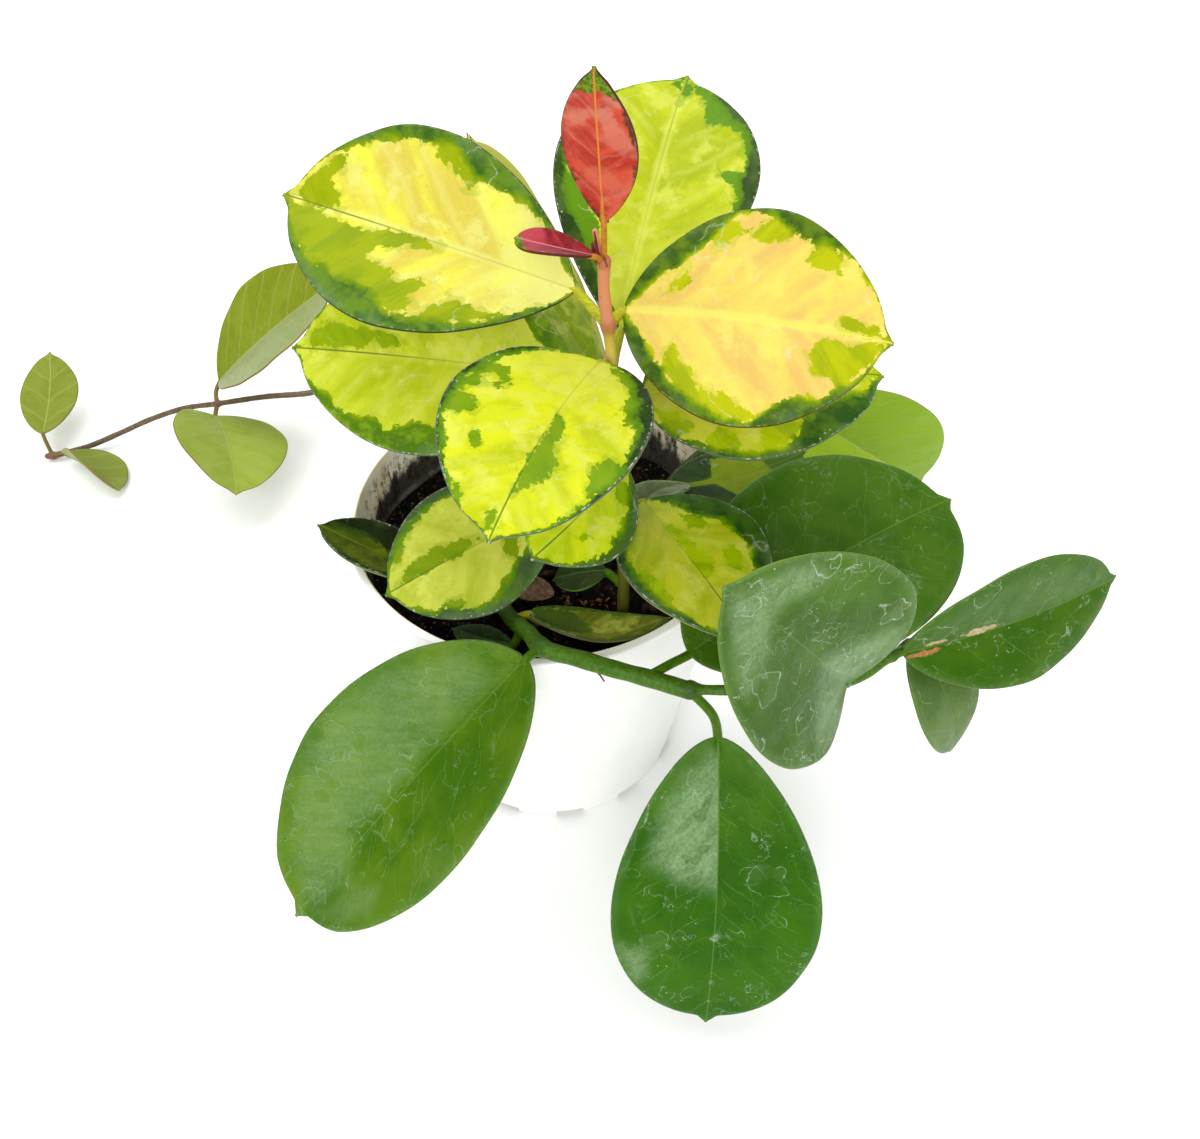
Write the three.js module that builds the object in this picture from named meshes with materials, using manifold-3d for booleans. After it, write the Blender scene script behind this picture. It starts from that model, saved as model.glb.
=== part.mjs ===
// A potted hoya: a round plastic nursery pot filled with potting mix, an upright shoot with pairs of
// round variegated leaves, a thick stem that runs over the front of the rim with large green leaves,
// and a thin vine that trails off the back left of the rim and lies along the surface.
//
// Units are millimetres. Z is up, -Y is the front, and the origin is the middle of the pot's underside.

import * as THREE from 'three';
import { mergeVertices } from 'three/addons/utils/BufferGeometryUtils.js';
import Module from 'manifold-3d';

const wasm = await Module();
wasm.setup();

// ---- driving dimensions: pot and soil -------------------------------------------------------------
const POT_HEIGHT = 108;
const RIM_RADIUS = 60;
const FOOT_RADIUS = 43;
const WALL = 1.6;
const FLOOR = 2;
const COLLAR_HEIGHT = 22;         // straight band below the rim
const COLLAR_STEP = 1.6;          // how far the band stands out from the wall below it
const LIP_HEIGHT = 2;
const LIP_WIDTH = 0.9;            // how far the lip stands out from the band
const COLLAR_FLARE = 1.2;         // how much the band widens towards the rim
const POT_SEGMENTS = 36;

const SLOT_COUNT = 12;            // drainage slots round the foot
const SLOT_WIDTH = 9.5;
const SLOT_HEIGHT = 3.5;
const SLOT_DEPTH = 6;
const SLOT_START = THREE.MathUtils.degToRad(-21);

const SOIL_TOP = 88;
const SOIL_GAP = 0.4;             // between the soil and the pot
const SOIL_UNEVEN = 1.4;          // height of the surface's lumps
const SOIL_RINGS = 4;
const SOIL_WAVES = [              // share of the height, then radians for each mm along X and along Y
  { share: 0.7, alongX: 0.11, alongY: 0.09 },
  { share: 0.3, alongX: 0.31, alongY: -0.23 },
];
const LEVEL_TOLERANCE = 0.01;
const HOLE_GAP = 0.7;             // between a stem and its hole in the soil
const HOLE_DEPTH = 26;
const HOLE_SIDES = 12;

// ---- driving dimensions: foliage ------------------------------------------------------------------
const STEM_SIDES = 7;
const STEM_STEP = 8;              // length of one straight piece of a stem
const STEM_MIN_STEPS = 3;
const KNOT_SIDES = 8;             // facets round a swollen node, and bands from its top to its bottom
const KNOT_BANDS = 6;
const BLADE_THICKNESS = 1.0;
const BLADE_ROWS = 10;
const BLADE_COLUMNS = 4;
const SMALL_ROWS = 7;
const SMALL_COLUMNS = 4;
const SMALL_LENGTH = 45;          // shorter blades take the coarser grid
const ROUND_END = 0.965;          // share of the length at which the round outline closes
const TIP_ZONE = 0.8;             // share of the length from which the drawn-out point counts
const TIP_TAPER = 0.9;            // the point's half width falls by this much of the blade's, per length
const TIP_HALF_WIDTH = 0.13;      // and is at most this share of the blade's half width
const MIDRIB_RADIUS = 2;          // roundness of the fold along the midrib
const FOLD_EASE = 0.5;            // share of the fold that is gone at the tip
const BASE_HALF_WIDTH = 1.1;      // half width of the blade where the petiole meets it
const POINT_HALF_WIDTH = 0.5;     // half width of the blade at its point
const PETIOLE_RADIUS = 1.3;
const PETIOLE_SIDES = 6;
const PETIOLE_STEPS = 4;
const PETIOLE_SUNK = 0.07;        // share of the blade's length that the petiole runs into it
const PETIOLE_CLEAR = 2.4;        // from the stem's middle to where the petiole begins
const MERGE_TOLERANCE = 1e-4;

// ---- colours and finishes ---------------------------------------------------------------------------
const FINISHES = {
  pot_plastic: { color: 0xf2f2ef, roughness: 0.45, metalness: 0 },
  potting_mix: { color: 0x1d1511, roughness: 0.95, metalness: 0 },
  green_stem: { color: 0x5f8f2a, roughness: 0.5, metalness: 0 },
  vine_stem: { color: 0x5d5236, roughness: 0.6, metalness: 0 },
  variegated_leaf: { color: 0xb9cf3a, roughness: 0.4, metalness: 0 },
  dark_leaf: { color: 0x2f6a1e, roughness: 0.35, metalness: 0 },
  vine_leaf: { color: 0x86a02c, roughness: 0.45, metalness: 0 },
  red_leaf: { color: 0xc0393c, roughness: 0.4, metalness: 0 },
};

// ---- stems: routes along their middle ----------------------------------------------------------------
// Each stem is one or more runs with a radius, and the swollen nodes on it.
const STEMS = {
  stem_upright: {
    finish: 'green_stem',
    runs: [
      {
        radius: 1.8,
        route: [
          [24, -26, 64], [24, -26, 76], [24, -26, 88], [24, -28, 112], [23, -28, 138], [21, -27, 174],
        ],
      },
      {
        radius: 1.4,
        route: [[21.4, -27, 168], [20, -28, 186], [19, -28, 197], [18, -27, 206], [18, -27, 214]],
      },
      { radius: 0.7, route: [[18, -27, 213], [16.8, -26.4, 217], [16, -26, 221]] },
    ],
    nodes: [{ at: [19, -28, 197], radius: 1.9 }, { at: [18, -27, 214], radius: 1.7 }],
  },
  stem_trailing: {
    finish: 'green_stem',
    runs: [
      {
        radius: 2.4,
        route: [
          [-14, -23, 64], [-14, -23, 76], [-14, -23, 89.5], [-13, -26, 94], [-9, -35, 98], [-3, -48, 107],
          [2, -58, 112.4], [12, -62, 113], [20, -65, 113], [30, -68, 112.5], [41, -71, 111],
        ],
      },
      {
        radius: 1.4,
        route: [[39, -70.6, 111.2], [51, -71.5, 112], [67, -72, 114], [83, -70, 114], [96, -60, 112]],
      },
    ],
    nodes: [
      { at: [1, -57, 112.2], radius: 2.9 },
      { at: [41, -71, 111], radius: 2.6 },
      { at: [96, -60, 112], radius: 1.9 },
    ],
  },
  stem_left_shoot: {
    finish: 'green_stem',
    runs: [
      {
        radius: 1.7,
        route: [[-5, -15, 64], [-5, -15, 76], [-5, -15, 87], [-4, -14, 102], [-1, -12, 119]],
      },
    ],
    nodes: [],
  },
  stem_back_shoot: {
    finish: 'green_stem',
    runs: [
      {
        radius: 1.5,
        route: [
          [30, 2, 64], [30, 2, 76], [30, 2, 87], [33, 6, 101], [42, 15, 109], [53, 24, 113], [63, 32, 112],
          [72, 41, 108.5],
        ],
      },
    ],
    nodes: [],
  },
  stem_vine: {
    finish: 'vine_stem',
    runs: [
      {
        radius: 1.2,
        route: [
          [-24, 16, 64], [-24, 16, 76], [-24, 16, 87], [-32, 24, 106], [-45, 40, 113],
          [-60, 61, 106], [-80, 90, 82], [-103, 119, 55], [-128, 141, 35], [-153, 152, 22],
          [-171, 157, 15], [-187, 156, 9.5],
          [-201, 151, 5.5], [-213, 145, 3.5], [-226, 140, 2.6], [-231, 139, 2.4],
        ],
      },
    ],
    nodes: [{ at: [-153, 152, 22], radius: 1.8 }, { at: [-229, 139.5, 2.6], radius: 2 }],
  },
};

// ---- leaves ---------------------------------------------------------------------------------------------
// root:   point on the stem's middle that the petiole grows from; clear: how far from it the petiole begins
// petiole: its radius, where that isn't PETIOLE_RADIUS
// base:   where the blade begins; tip: its point; via: a point that the petiole passes on its way
// width:  full width; widest: where along the blade it is widest, from 0 at the base to 1 at the tip
// blunt:  lower is rounder at the ends; roll: degrees that the right-hand edge is raised, seen from the base
// arch:   height of the midrib's bow; fold: degrees that each half is raised at the base
// curl:   share of the half width that the edges turn down; sweep: sideways bow of the midrib
const LEAVES = [
  // upright shoot, in pairs from the top down
  { name: 'leaf_red', finish: 'red_leaf', root: [18, -27, 214], base: [18, -30, 226], tip: [16, -38, 264],
    width: 17, widest: 0.51, blunt: 0.7, roll: 7, arch: 1, fold: 6, curl: 0.05, sweep: 0.4, petiole: 0.7,
    clear: 2.6 },
  { name: 'leaf_red_folded', finish: 'red_leaf', root: [18, -27, 214], base: [15.5, -30, 217.5],
    tip: [-2.3, -21.4, 216.5], width: 9.5, widest: 0.54, blunt: 0.43, roll: 16, arch: 2, fold: 52, curl: 0.12,
    sweep: -1.8, petiole: 0.7 },
  { name: 'leaf_top_left', finish: 'variegated_leaf', root: [19, -28, 197], base: [11, -18, 200],
    tip: [-60, 3, 213], width: 52, widest: 0.56, blunt: 0.56, roll: 33, arch: 3, fold: 16, curl: 0,
    sweep: -0.6 },
  { name: 'leaf_top_right', finish: 'variegated_leaf', root: [19, -28, 197], base: [23, -20, 196],
    tip: [84, -39, 200], width: 53, widest: 0.51, blunt: 0.56, roll: -35, arch: 4.5, fold: 9, curl: 0.04,
    sweep: 0 },
  { name: 'leaf_back_right', finish: 'variegated_leaf', root: [20, -28, 185], base: [22, -19, 189],
    tip: [40, 46, 222], width: 52, widest: 0.57, blunt: 0.58, roll: -6, arch: 4, fold: 13, curl: 0,
    sweep: -0.6 },
  { name: 'leaf_front', finish: 'variegated_leaf', root: [20, -28, 184], base: [17, -33, 190],
    tip: [-6, -90, 188], width: 48, widest: 0.51, blunt: 0.53, roll: 4, arch: 4, fold: 20, curl: 0.02,
    sweep: 0.8, clear: 4.4 },
  { name: 'leaf_middle_left', finish: 'variegated_leaf', root: [21, -27, 173], base: [11, -20, 175],
    tip: [-64, -5, 173], width: 51, widest: 0.52, blunt: 0.57, roll: 39, arch: 2, fold: 7, curl: 0.03,
    sweep: 0.4 },
  { name: 'leaf_middle_right', finish: 'variegated_leaf', root: [21, -27, 171], base: [28, -23, 171],
    tip: [90, -17, 173], width: 49, widest: 0.46, blunt: 0.57, roll: -12, arch: 3, fold: 2, curl: 0.07,
    sweep: -1 },
  { name: 'leaf_back_left', finish: 'variegated_leaf', root: [21.6, -27, 158], base: [19, -2, 158],
    tip: [-18.8, 44.7, 206.8], width: 39, widest: 0.61, blunt: 0.42, roll: -25, arch: -2.5, fold: 4, curl: 0.06,
    sweep: -0.9 },
  { name: 'leaf_low_front', finish: 'variegated_leaf', root: [22.4, -27.6, 149], base: [24, -34, 157],
    tip: [0, -59, 149], width: 29, widest: 0.52, blunt: 0.63, roll: 19, arch: 0.8, fold: 4, curl: 0.05,
    sweep: -0.6, clear: 5.6 },
  { name: 'leaf_low_right', finish: 'variegated_leaf', root: [23.2, -28, 131], base: [29, -27, 138],
    tip: [55, -71, 132], width: 42, widest: 0.49, blunt: 0.59, roll: 4, arch: 2.2, fold: 13, curl: -0.03,
    sweep: 0.8, clear: 5.5 },
  { name: 'leaf_inner_right', finish: 'variegated_leaf', root: [24, -28, 114], base: [27.6, -21.4, 128],
    tip: [44.5, 0.4, 118], width: 14, widest: 0.53, blunt: 0.63, roll: 11, arch: 1, fold: 10, curl: 0,
    sweep: -3, clear: 3, via: [26.2, -23.4, 118] },
  { name: 'leaf_inner_dark', finish: 'dark_leaf', root: [24, -27, 103], base: [19, -22, 104],
    tip: [3, -22, 100], width: 15, widest: 0.5, blunt: 0.6, roll: 0, arch: 1, fold: 8, curl: 0, sweep: 0 },
  // short shoot at the left, and leaves low in the pot
  { name: 'leaf_low_left', finish: 'variegated_leaf', root: [-1, -12, 118], base: [4, -13, 122],
    tip: [-44, -37, 110], width: 41, widest: 0.53, blunt: 0.57, roll: 21, arch: 2.2, fold: 4, curl: 0.05,
    sweep: 0, via: [3.5, -10.5, 121] },
  { name: 'leaf_over_rim_left', finish: 'variegated_leaf', root: [-13, -25, 91], base: [-32, -27, 106],
    tip: [-65, -17, 118.5], width: 20, widest: 0.49, blunt: 0.6, roll: 3, arch: -0.2, fold: 34, curl: 0.06,
    sweep: 0.3, clear: 4.4, via: [-22, -27, 98] },
  { name: 'leaf_boat', finish: 'variegated_leaf', root: [-8, -38, 100.2], base: [-3.4, -36.9, 102.6],
    tip: [37.5, -39, 103], width: 21, widest: 0.47, blunt: 0.56, roll: 22, arch: -6, fold: 35, curl: 0.1,
    sweep: 0.5, clear: 4.2 },
  { name: 'leaf_small_front', finish: 'dark_leaf', root: [-5, -43, 103], base: [-8, -45, 98],
    tip: [-26, -39, 98], width: 11, widest: 0.52, blunt: 0.6, roll: -10, arch: -1, fold: 20, curl: 0.06,
    sweep: 0, clear: 3.4 },
  // stem over the front of the rim
  { name: 'leaf_dark_left', finish: 'dark_leaf', root: [1, -57, 112], base: [-3, -61, 112],
    tip: [-67, -109, 58], width: 60, widest: 0.5, blunt: 0.47, roll: 11, arch: 2.4, fold: 21, curl: -0.11,
    sweep: 0, clear: 3.6 },
  { name: 'leaf_dark_front', finish: 'dark_leaf', root: [41, -71, 111], base: [49, -76, 97],
    tip: [48, -123, 19], width: 59, widest: 0.6, blunt: 0.42, roll: -2, arch: 4.3, fold: 7, curl: 0.03,
    sweep: -1.3, clear: 3.4, via: [47.5, -73.5, 103] },
  { name: 'leaf_dark_right', finish: 'dark_leaf', root: [29, -68, 112.5], base: [41, -61, 114],
    tip: [120, -9, 121], width: 61, widest: 0.53, blunt: 0.47, roll: -16, arch: 5, fold: 12, curl: 0,
    sweep: -1.3, clear: 5, via: [36, -64, 113.5] },
  { name: 'leaf_dark_upright', finish: 'dark_leaf', root: [82, -70.5, 114], base: [81, -74, 118],
    tip: [44, -87, 171], width: 59, widest: 0.45, blunt: 0.5, roll: 67, arch: 2.2, fold: 32, curl: 0,
    sweep: 0.5, clear: 2.2 },
  { name: 'leaf_dark_far', finish: 'dark_leaf', root: [96, -60, 112], base: [99, -59, 112],
    tip: [165, -31, 112], width: 39, widest: 0.52, blunt: 0.56, roll: -65, arch: 2.3, fold: 27, curl: 0.14,
    sweep: 1.3, clear: 2.5 },
  { name: 'leaf_dark_hanging', finish: 'dark_leaf', root: [96, -60, 111.4], base: [104.5, -50, 105],
    tip: [120, -63.5, 71], width: 25, widest: 0.49, blunt: 0.54, roll: -9, arch: 5.3, fold: 9, curl: 0.04,
    sweep: -0.9, clear: 2.9, via: [99.5, -55, 107.5] },
  // short shoot at the back right
  { name: 'leaf_back_olive', finish: 'variegated_leaf', root: [33, 6, 101], base: [38.8, 1.3, 115.3],
    tip: [81, 16.8, 116.3], width: 28, widest: 0.44, blunt: 0.62, roll: 7, arch: -0.2, fold: 6, curl: 0.07,
    sweep: 2.3, clear: 2.8, via: [34.5, 3.4, 108] },
  { name: 'leaf_back_green', finish: 'vine_leaf', root: [71, 40, 109], base: [82, 52.5, 105.5],
    tip: [134.5, 57.5, 65], width: 53, widest: 0.49, blunt: 0.45, roll: -85, arch: 5.8, fold: 13, curl: -0.02,
    sweep: -1, clear: 2.5 },
  // trailing vine at the left
  { name: 'vine_leaf_upper', finish: 'vine_leaf', root: [-153, 152, 22], base: [-154, 164, 25],
    tip: [-92, 165, 78], width: 54, widest: 0.51, blunt: 0.56, roll: -18, arch: 2.3, fold: 24, curl: 0,
    sweep: -0.4, petiole: 1, via: [-154.5, 158, 23.5] },
  { name: 'vine_leaf_near', finish: 'vine_leaf', root: [-153, 152, 22], base: [-153, 146, 20],
    tip: [-132, 92, 24], width: 49, widest: 0.49, blunt: 0.56, roll: 26, arch: 3.7, fold: 19, curl: 0,
    sweep: -0.7, petiole: 1 },
  { name: 'vine_leaf_end', finish: 'vine_leaf', root: [-229, 139.5, 2.6], base: [-232, 144.5, 11],
    tip: [-236, 184, 26], width: 26, widest: 0.51, blunt: 0.59, roll: -1, arch: -1.2, fold: 10, curl: 0.09,
    sweep: 1.1, petiole: 0.8, clear: 3 },
  { name: 'vine_leaf_low', finish: 'vine_leaf', root: [-229, 139.5, 2.6], base: [-222.5, 138, 6],
    tip: [-191.5, 114.5, 4.5], width: 27, widest: 0.53, blunt: 0.57, roll: 37, arch: 0.4, fold: 45, curl: 0,
    sweep: -1.5, petiole: 0.8, clear: 3 },
];

// ---- helpers ------------------------------------------------------------------------------------------
const vec = ([x, y, z]) => new THREE.Vector3(x, y, z);

const finishMaterial = (finish) => new THREE.MeshStandardMaterial(FINISHES[finish]);

function toSolid(geometry) {
  const bare = geometry.index ? geometry.clone() : geometry;
  bare.deleteAttribute('normal');
  bare.deleteAttribute('uv');
  const merged = mergeVertices(bare, MERGE_TOLERANCE);
  const vertProperties = new Float32Array(merged.attributes.position.array);
  const triVerts = new Uint32Array(merged.index.array);
  return new wasm.Manifold(new wasm.Mesh({ numProp: 3, vertProperties, triVerts }));
}

function toGeometry(solid) {
  const mesh = solid.getMesh();
  const geometry = new THREE.BufferGeometry();
  geometry.setAttribute('position', new THREE.BufferAttribute(new Float32Array(mesh.vertProperties), 3));
  geometry.setIndex(new THREE.BufferAttribute(new Uint32Array(mesh.triVerts), 1));
  return geometry;
}

function meshOf(name, solid, finish) {
  const mesh = new THREE.Mesh(toGeometry(solid), finishMaterial(finish));
  mesh.name = name;
  return mesh;
}

// A round tube along a route, closed at both ends.
function tube(route, radius, sides, steps) {
  const section = new THREE.Shape();
  for (let i = 0; i < sides; i += 1) {
    const angle = (2 * Math.PI * i) / sides;
    const point = [radius * Math.cos(angle), radius * Math.sin(angle)];
    if (i === 0) section.moveTo(...point);
    else section.lineTo(...point);
  }
  section.closePath();
  const extrudePath = new THREE.CatmullRomCurve3(route.map((point) => vec(point)), false, 'centripetal');
  return toSolid(new THREE.ExtrudeGeometry(section, { steps, extrudePath, bevelEnabled: false }));
}

// ---- pot ------------------------------------------------------------------------------------------------
const collarBottom = POT_HEIGHT - COLLAR_HEIGHT;
const bandTopRadius = RIM_RADIUS - LIP_WIDTH;
const bandRadius = bandTopRadius - COLLAR_FLARE;
const wallTopRadius = bandRadius - COLLAR_STEP;
const innerStep = collarBottom - COLLAR_STEP + WALL;

function potSolid() {
  const profile = [
    [0, 0], [FOOT_RADIUS, 0],
    [wallTopRadius, collarBottom - COLLAR_STEP], [bandRadius, collarBottom],
    [bandTopRadius, POT_HEIGHT - LIP_HEIGHT], [RIM_RADIUS, POT_HEIGHT - LIP_HEIGHT],
    [RIM_RADIUS, POT_HEIGHT], [bandTopRadius - WALL, POT_HEIGHT],
    [bandRadius - WALL, collarBottom + WALL], [wallTopRadius - WALL, innerStep],
    [FOOT_RADIUS - WALL, FLOOR], [0, FLOOR],
  ].map(([radius, height]) => new THREE.Vector2(radius, height));
  const lathe = new THREE.LatheGeometry(profile, POT_SEGMENTS);
  lathe.rotateX(Math.PI / 2);
  let pot = toSolid(lathe);
  for (let i = 0; i < SLOT_COUNT; i += 1) {
    const angle = SLOT_START + (2 * Math.PI * i) / SLOT_COUNT;
    const cutter = new THREE.BoxGeometry(SLOT_DEPTH, SLOT_WIDTH, 2 * SLOT_HEIGHT);
    cutter.translate(FOOT_RADIUS, 0, 0);
    cutter.rotateZ(angle);
    pot = pot.subtract(toSolid(cutter));
  }
  return pot;
}

// ---- soil -----------------------------------------------------------------------------------------------
const innerSlope = (wallTopRadius - FOOT_RADIUS) / (innerStep - FLOOR);
const innerRadius = (height) => FOOT_RADIUS - WALL + innerSlope * (height - FLOOR);

// A gently lumpy surface, level with SOIL_TOP on the whole.
function soilHeight(x, y) {
  const lump = SOIL_WAVES.reduce(
    (sum, { share, alongX, alongY }) => sum + share * Math.sin(alongX * x + alongY * y),
    0,
  );
  return SOIL_TOP + SOIL_UNEVEN * lump;
}

function soilSolid() {
  const bottom = FLOOR + SOIL_GAP;
  const bottomRadius = innerRadius(bottom) - SOIL_GAP;
  const topRadius = innerRadius(innerStep) - SOIL_GAP;
  const profile = [new THREE.Vector2(0, bottom), new THREE.Vector2(bottomRadius, bottom)];
  profile.push(new THREE.Vector2(topRadius, innerStep - SOIL_UNEVEN));
  for (let ring = SOIL_RINGS; ring >= 0; ring -= 1) {
    profile.push(new THREE.Vector2((topRadius * ring) / SOIL_RINGS, SOIL_TOP));
  }
  const lathe = new THREE.LatheGeometry(profile, POT_SEGMENTS);
  lathe.rotateX(Math.PI / 2);
  const position = lathe.attributes.position;
  for (let i = 0; i < position.count; i += 1) {
    if (position.getZ(i) > SOIL_TOP - LEVEL_TOLERANCE) {
      position.setZ(i, soilHeight(position.getX(i), position.getY(i)));
    }
  }
  let soil = toSolid(lathe);
  for (const stem of Object.values(STEMS)) {
    const [x, y] = stem.runs[0].route[0];
    const radius = stem.runs[0].radius + HOLE_GAP;
    const hole = new THREE.CylinderGeometry(radius, radius, 2 * HOLE_DEPTH, HOLE_SIDES);
    hole.rotateX(Math.PI / 2);
    hole.translate(x, y, SOIL_TOP);
    soil = soil.subtract(toSolid(hole));
  }
  return soil;
}

// ---- stems ----------------------------------------------------------------------------------------------
function routeLength(route) {
  const points = route.map((point) => vec(point));
  return points.slice(1).reduce((sum, point, i) => sum + point.distanceTo(points[i]), 0);
}

function stemSolid(stem) {
  const parts = stem.runs.map(({ radius, route }) => {
    const steps = Math.max(STEM_MIN_STEPS, Math.round(routeLength(route) / STEM_STEP));
    return tube(route, radius, STEM_SIDES, steps);
  });
  for (const { at, radius } of stem.nodes) {
    const knot = new THREE.SphereGeometry(radius, KNOT_SIDES, KNOT_BANDS);
    knot.translate(...at);
    parts.push(toSolid(knot));
  }
  return parts.reduce((whole, part) => whole.add(part));
}

// ---- leaves ---------------------------------------------------------------------------------------------
// The blade lies in its own frame: X runs from the base to the tip, Y to the left, Z out of the upper face.
function halfWidth(leaf, t) {
  const along = Math.min(t / ROUND_END, 1);
  const lean = Math.log(0.5) / Math.log(leaf.widest);
  const body = Math.max(Math.sin(Math.PI * along ** lean), 0) ** leaf.blunt;
  const point = t > TIP_ZONE ? Math.min(TIP_TAPER * (1 - t), TIP_HALF_WIDTH) : 0;
  const least = t > 0.5 ? POINT_HALF_WIDTH : BASE_HALF_WIDTH;
  return Math.max((leaf.width / 2) * Math.max(body, point), least);
}

function bladePoint(leaf, length, t, side) {
  const half = halfWidth(leaf, t);
  const across = side * half;
  const fold = THREE.MathUtils.degToRad(leaf.fold) * (1 - FOLD_EASE * t);
  const lift = Math.hypot(across, MIDRIB_RADIUS) - MIDRIB_RADIUS;
  const bow = 4 * t * (1 - t);
  return new THREE.Vector3(
    length * t,
    -(across * Math.cos(fold) + leaf.sweep * bow),
    lift * Math.sin(fold) - leaf.curl * side * side * half + leaf.arch * bow,
  );
}

// Rows of the blade's grid, closer together near its two ends.
const rowAt = (row, rows) => (1 - Math.cos((Math.PI * row) / rows)) / 2;

function bladeSolid(leaf, length) {
  const small = length < SMALL_LENGTH;
  const rows = small ? SMALL_ROWS : BLADE_ROWS;
  const columns = small ? SMALL_COLUMNS : BLADE_COLUMNS;
  const across = columns + 1;
  const middle = (row, column) => bladePoint(leaf, length, rowAt(row, rows), (2 * column) / columns - 1);
  const upper = [];
  const lower = [];
  for (let row = 0; row <= rows; row += 1) {
    for (let column = 0; column <= columns; column += 1) {
      const along = middle(Math.min(row + 1, rows), column).sub(middle(Math.max(row - 1, 0), column));
      const sideways = middle(row, Math.max(column - 1, 0)).sub(middle(row, Math.min(column + 1, columns)));
      const normal = along.cross(sideways).normalize().multiplyScalar(BLADE_THICKNESS / 2);
      const point = middle(row, column);
      upper.push(...point.clone().add(normal).toArray());
      lower.push(...point.clone().sub(normal).toArray());
    }
  }
  const offset = (rows + 1) * across;
  const triangles = [];
  const quad = (a, b, c, d) => triangles.push(a, b, c, a, c, d);
  for (let row = 0; row < rows; row += 1) {
    for (let column = 0; column < columns; column += 1) {
      const a = row * across + column;
      const b = a + across;
      triangles.push(a, a + 1, b, a + 1, b + 1, b);
      triangles.push(offset + a, offset + b, offset + a + 1, offset + a + 1, offset + b, offset + b + 1);
    }
    const right = row * across + columns;
    quad(right, offset + right, offset + right + across, right + across);
    const left = row * across;
    quad(left, left + across, offset + left + across, offset + left);
  }
  for (let column = 0; column < columns; column += 1) {
    quad(column, offset + column, offset + column + 1, column + 1);
    const end = rows * across + column;
    quad(end, end + 1, offset + end + 1, offset + end);
  }
  const geometry = new THREE.BufferGeometry();
  geometry.setAttribute('position', new THREE.Float32BufferAttribute([...upper, ...lower], 3));
  geometry.setIndex(triangles);
  return toSolid(geometry);
}

function leafMesh(leaf) {
  const base = vec(leaf.base);
  const along = vec(leaf.tip).sub(base);
  const length = along.length();
  along.normalize();
  const left = new THREE.Vector3(0, 0, 1).cross(along).normalize();
  const up = along.clone().cross(left);
  const turn = new THREE.Matrix4().makeBasis(along, left, up);
  turn.multiply(new THREE.Matrix4().makeRotationX(THREE.MathUtils.degToRad(-leaf.roll)));
  const place = turn.clone().setPosition(base);
  const back = place.clone().invert();

  const root = vec(leaf.root).applyMatrix4(back);
  const first = leaf.via ? vec(leaf.via).applyMatrix4(back) : new THREE.Vector3();
  const start = first.clone().sub(root).setLength(leaf.clear ?? PETIOLE_CLEAR).add(root);
  const route = [start.toArray()];
  if (leaf.via) route.push(first.toArray());
  route.push([0, 0, 0], bladePoint(leaf, length, PETIOLE_SUNK, 0).toArray());
  const petiole = tube(route, leaf.petiole ?? PETIOLE_RADIUS, PETIOLE_SIDES, PETIOLE_STEPS);

  const mesh = meshOf(leaf.name, bladeSolid(leaf, length).add(petiole), leaf.finish);
  mesh.position.copy(base);
  mesh.quaternion.setFromRotationMatrix(turn);
  return mesh;
}

// ---- the whole plant --------------------------------------------------------------------------------
const plant = new THREE.Group();
plant.add(meshOf('pot', potSolid(), 'pot_plastic'));
plant.add(meshOf('soil', soilSolid(), 'potting_mix'));
for (const [name, stem] of Object.entries(STEMS)) plant.add(meshOf(name, stemSolid(stem), stem.finish));
for (const leaf of LEAVES) plant.add(leafMesh(leaf));

export default plant;
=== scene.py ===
"""Looks of a potted hoya: fleshy variegated and green leaves, stems, a nursery pot and its potting mix.

Lengths are millimetres up to mesh_piece(), which turns them into metres. The frame is the part's own:
Z is up, -Y is the front, and the origin is the middle of the pot's underside.
"""

import math

import bmesh
import bpy
import numpy as np
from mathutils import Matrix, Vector, noise


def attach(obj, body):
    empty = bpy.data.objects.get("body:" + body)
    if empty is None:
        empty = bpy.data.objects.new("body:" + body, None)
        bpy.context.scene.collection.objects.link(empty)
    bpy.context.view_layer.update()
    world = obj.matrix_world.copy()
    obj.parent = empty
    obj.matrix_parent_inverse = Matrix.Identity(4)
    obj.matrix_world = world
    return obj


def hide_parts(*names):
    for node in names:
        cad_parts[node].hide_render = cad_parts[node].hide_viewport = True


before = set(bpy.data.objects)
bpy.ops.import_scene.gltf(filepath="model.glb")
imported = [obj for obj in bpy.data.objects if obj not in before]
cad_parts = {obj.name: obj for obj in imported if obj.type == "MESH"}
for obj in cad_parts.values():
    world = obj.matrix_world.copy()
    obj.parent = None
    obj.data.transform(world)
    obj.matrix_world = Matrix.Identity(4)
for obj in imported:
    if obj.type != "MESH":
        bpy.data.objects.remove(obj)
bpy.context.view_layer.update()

MM = 0.001
SEED = 7

# ---- camera ----------------------------------------------------------------------------------------
CAMERA_AT = (17.1, -260.2, 368.3)
CAMERA_DOWN = 47.9                # degrees below the horizon
CAMERA_LENS = 36.0
SENSOR_WIDTH = 36.0
CAMERA_REACH = 20.0               # metres

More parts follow.
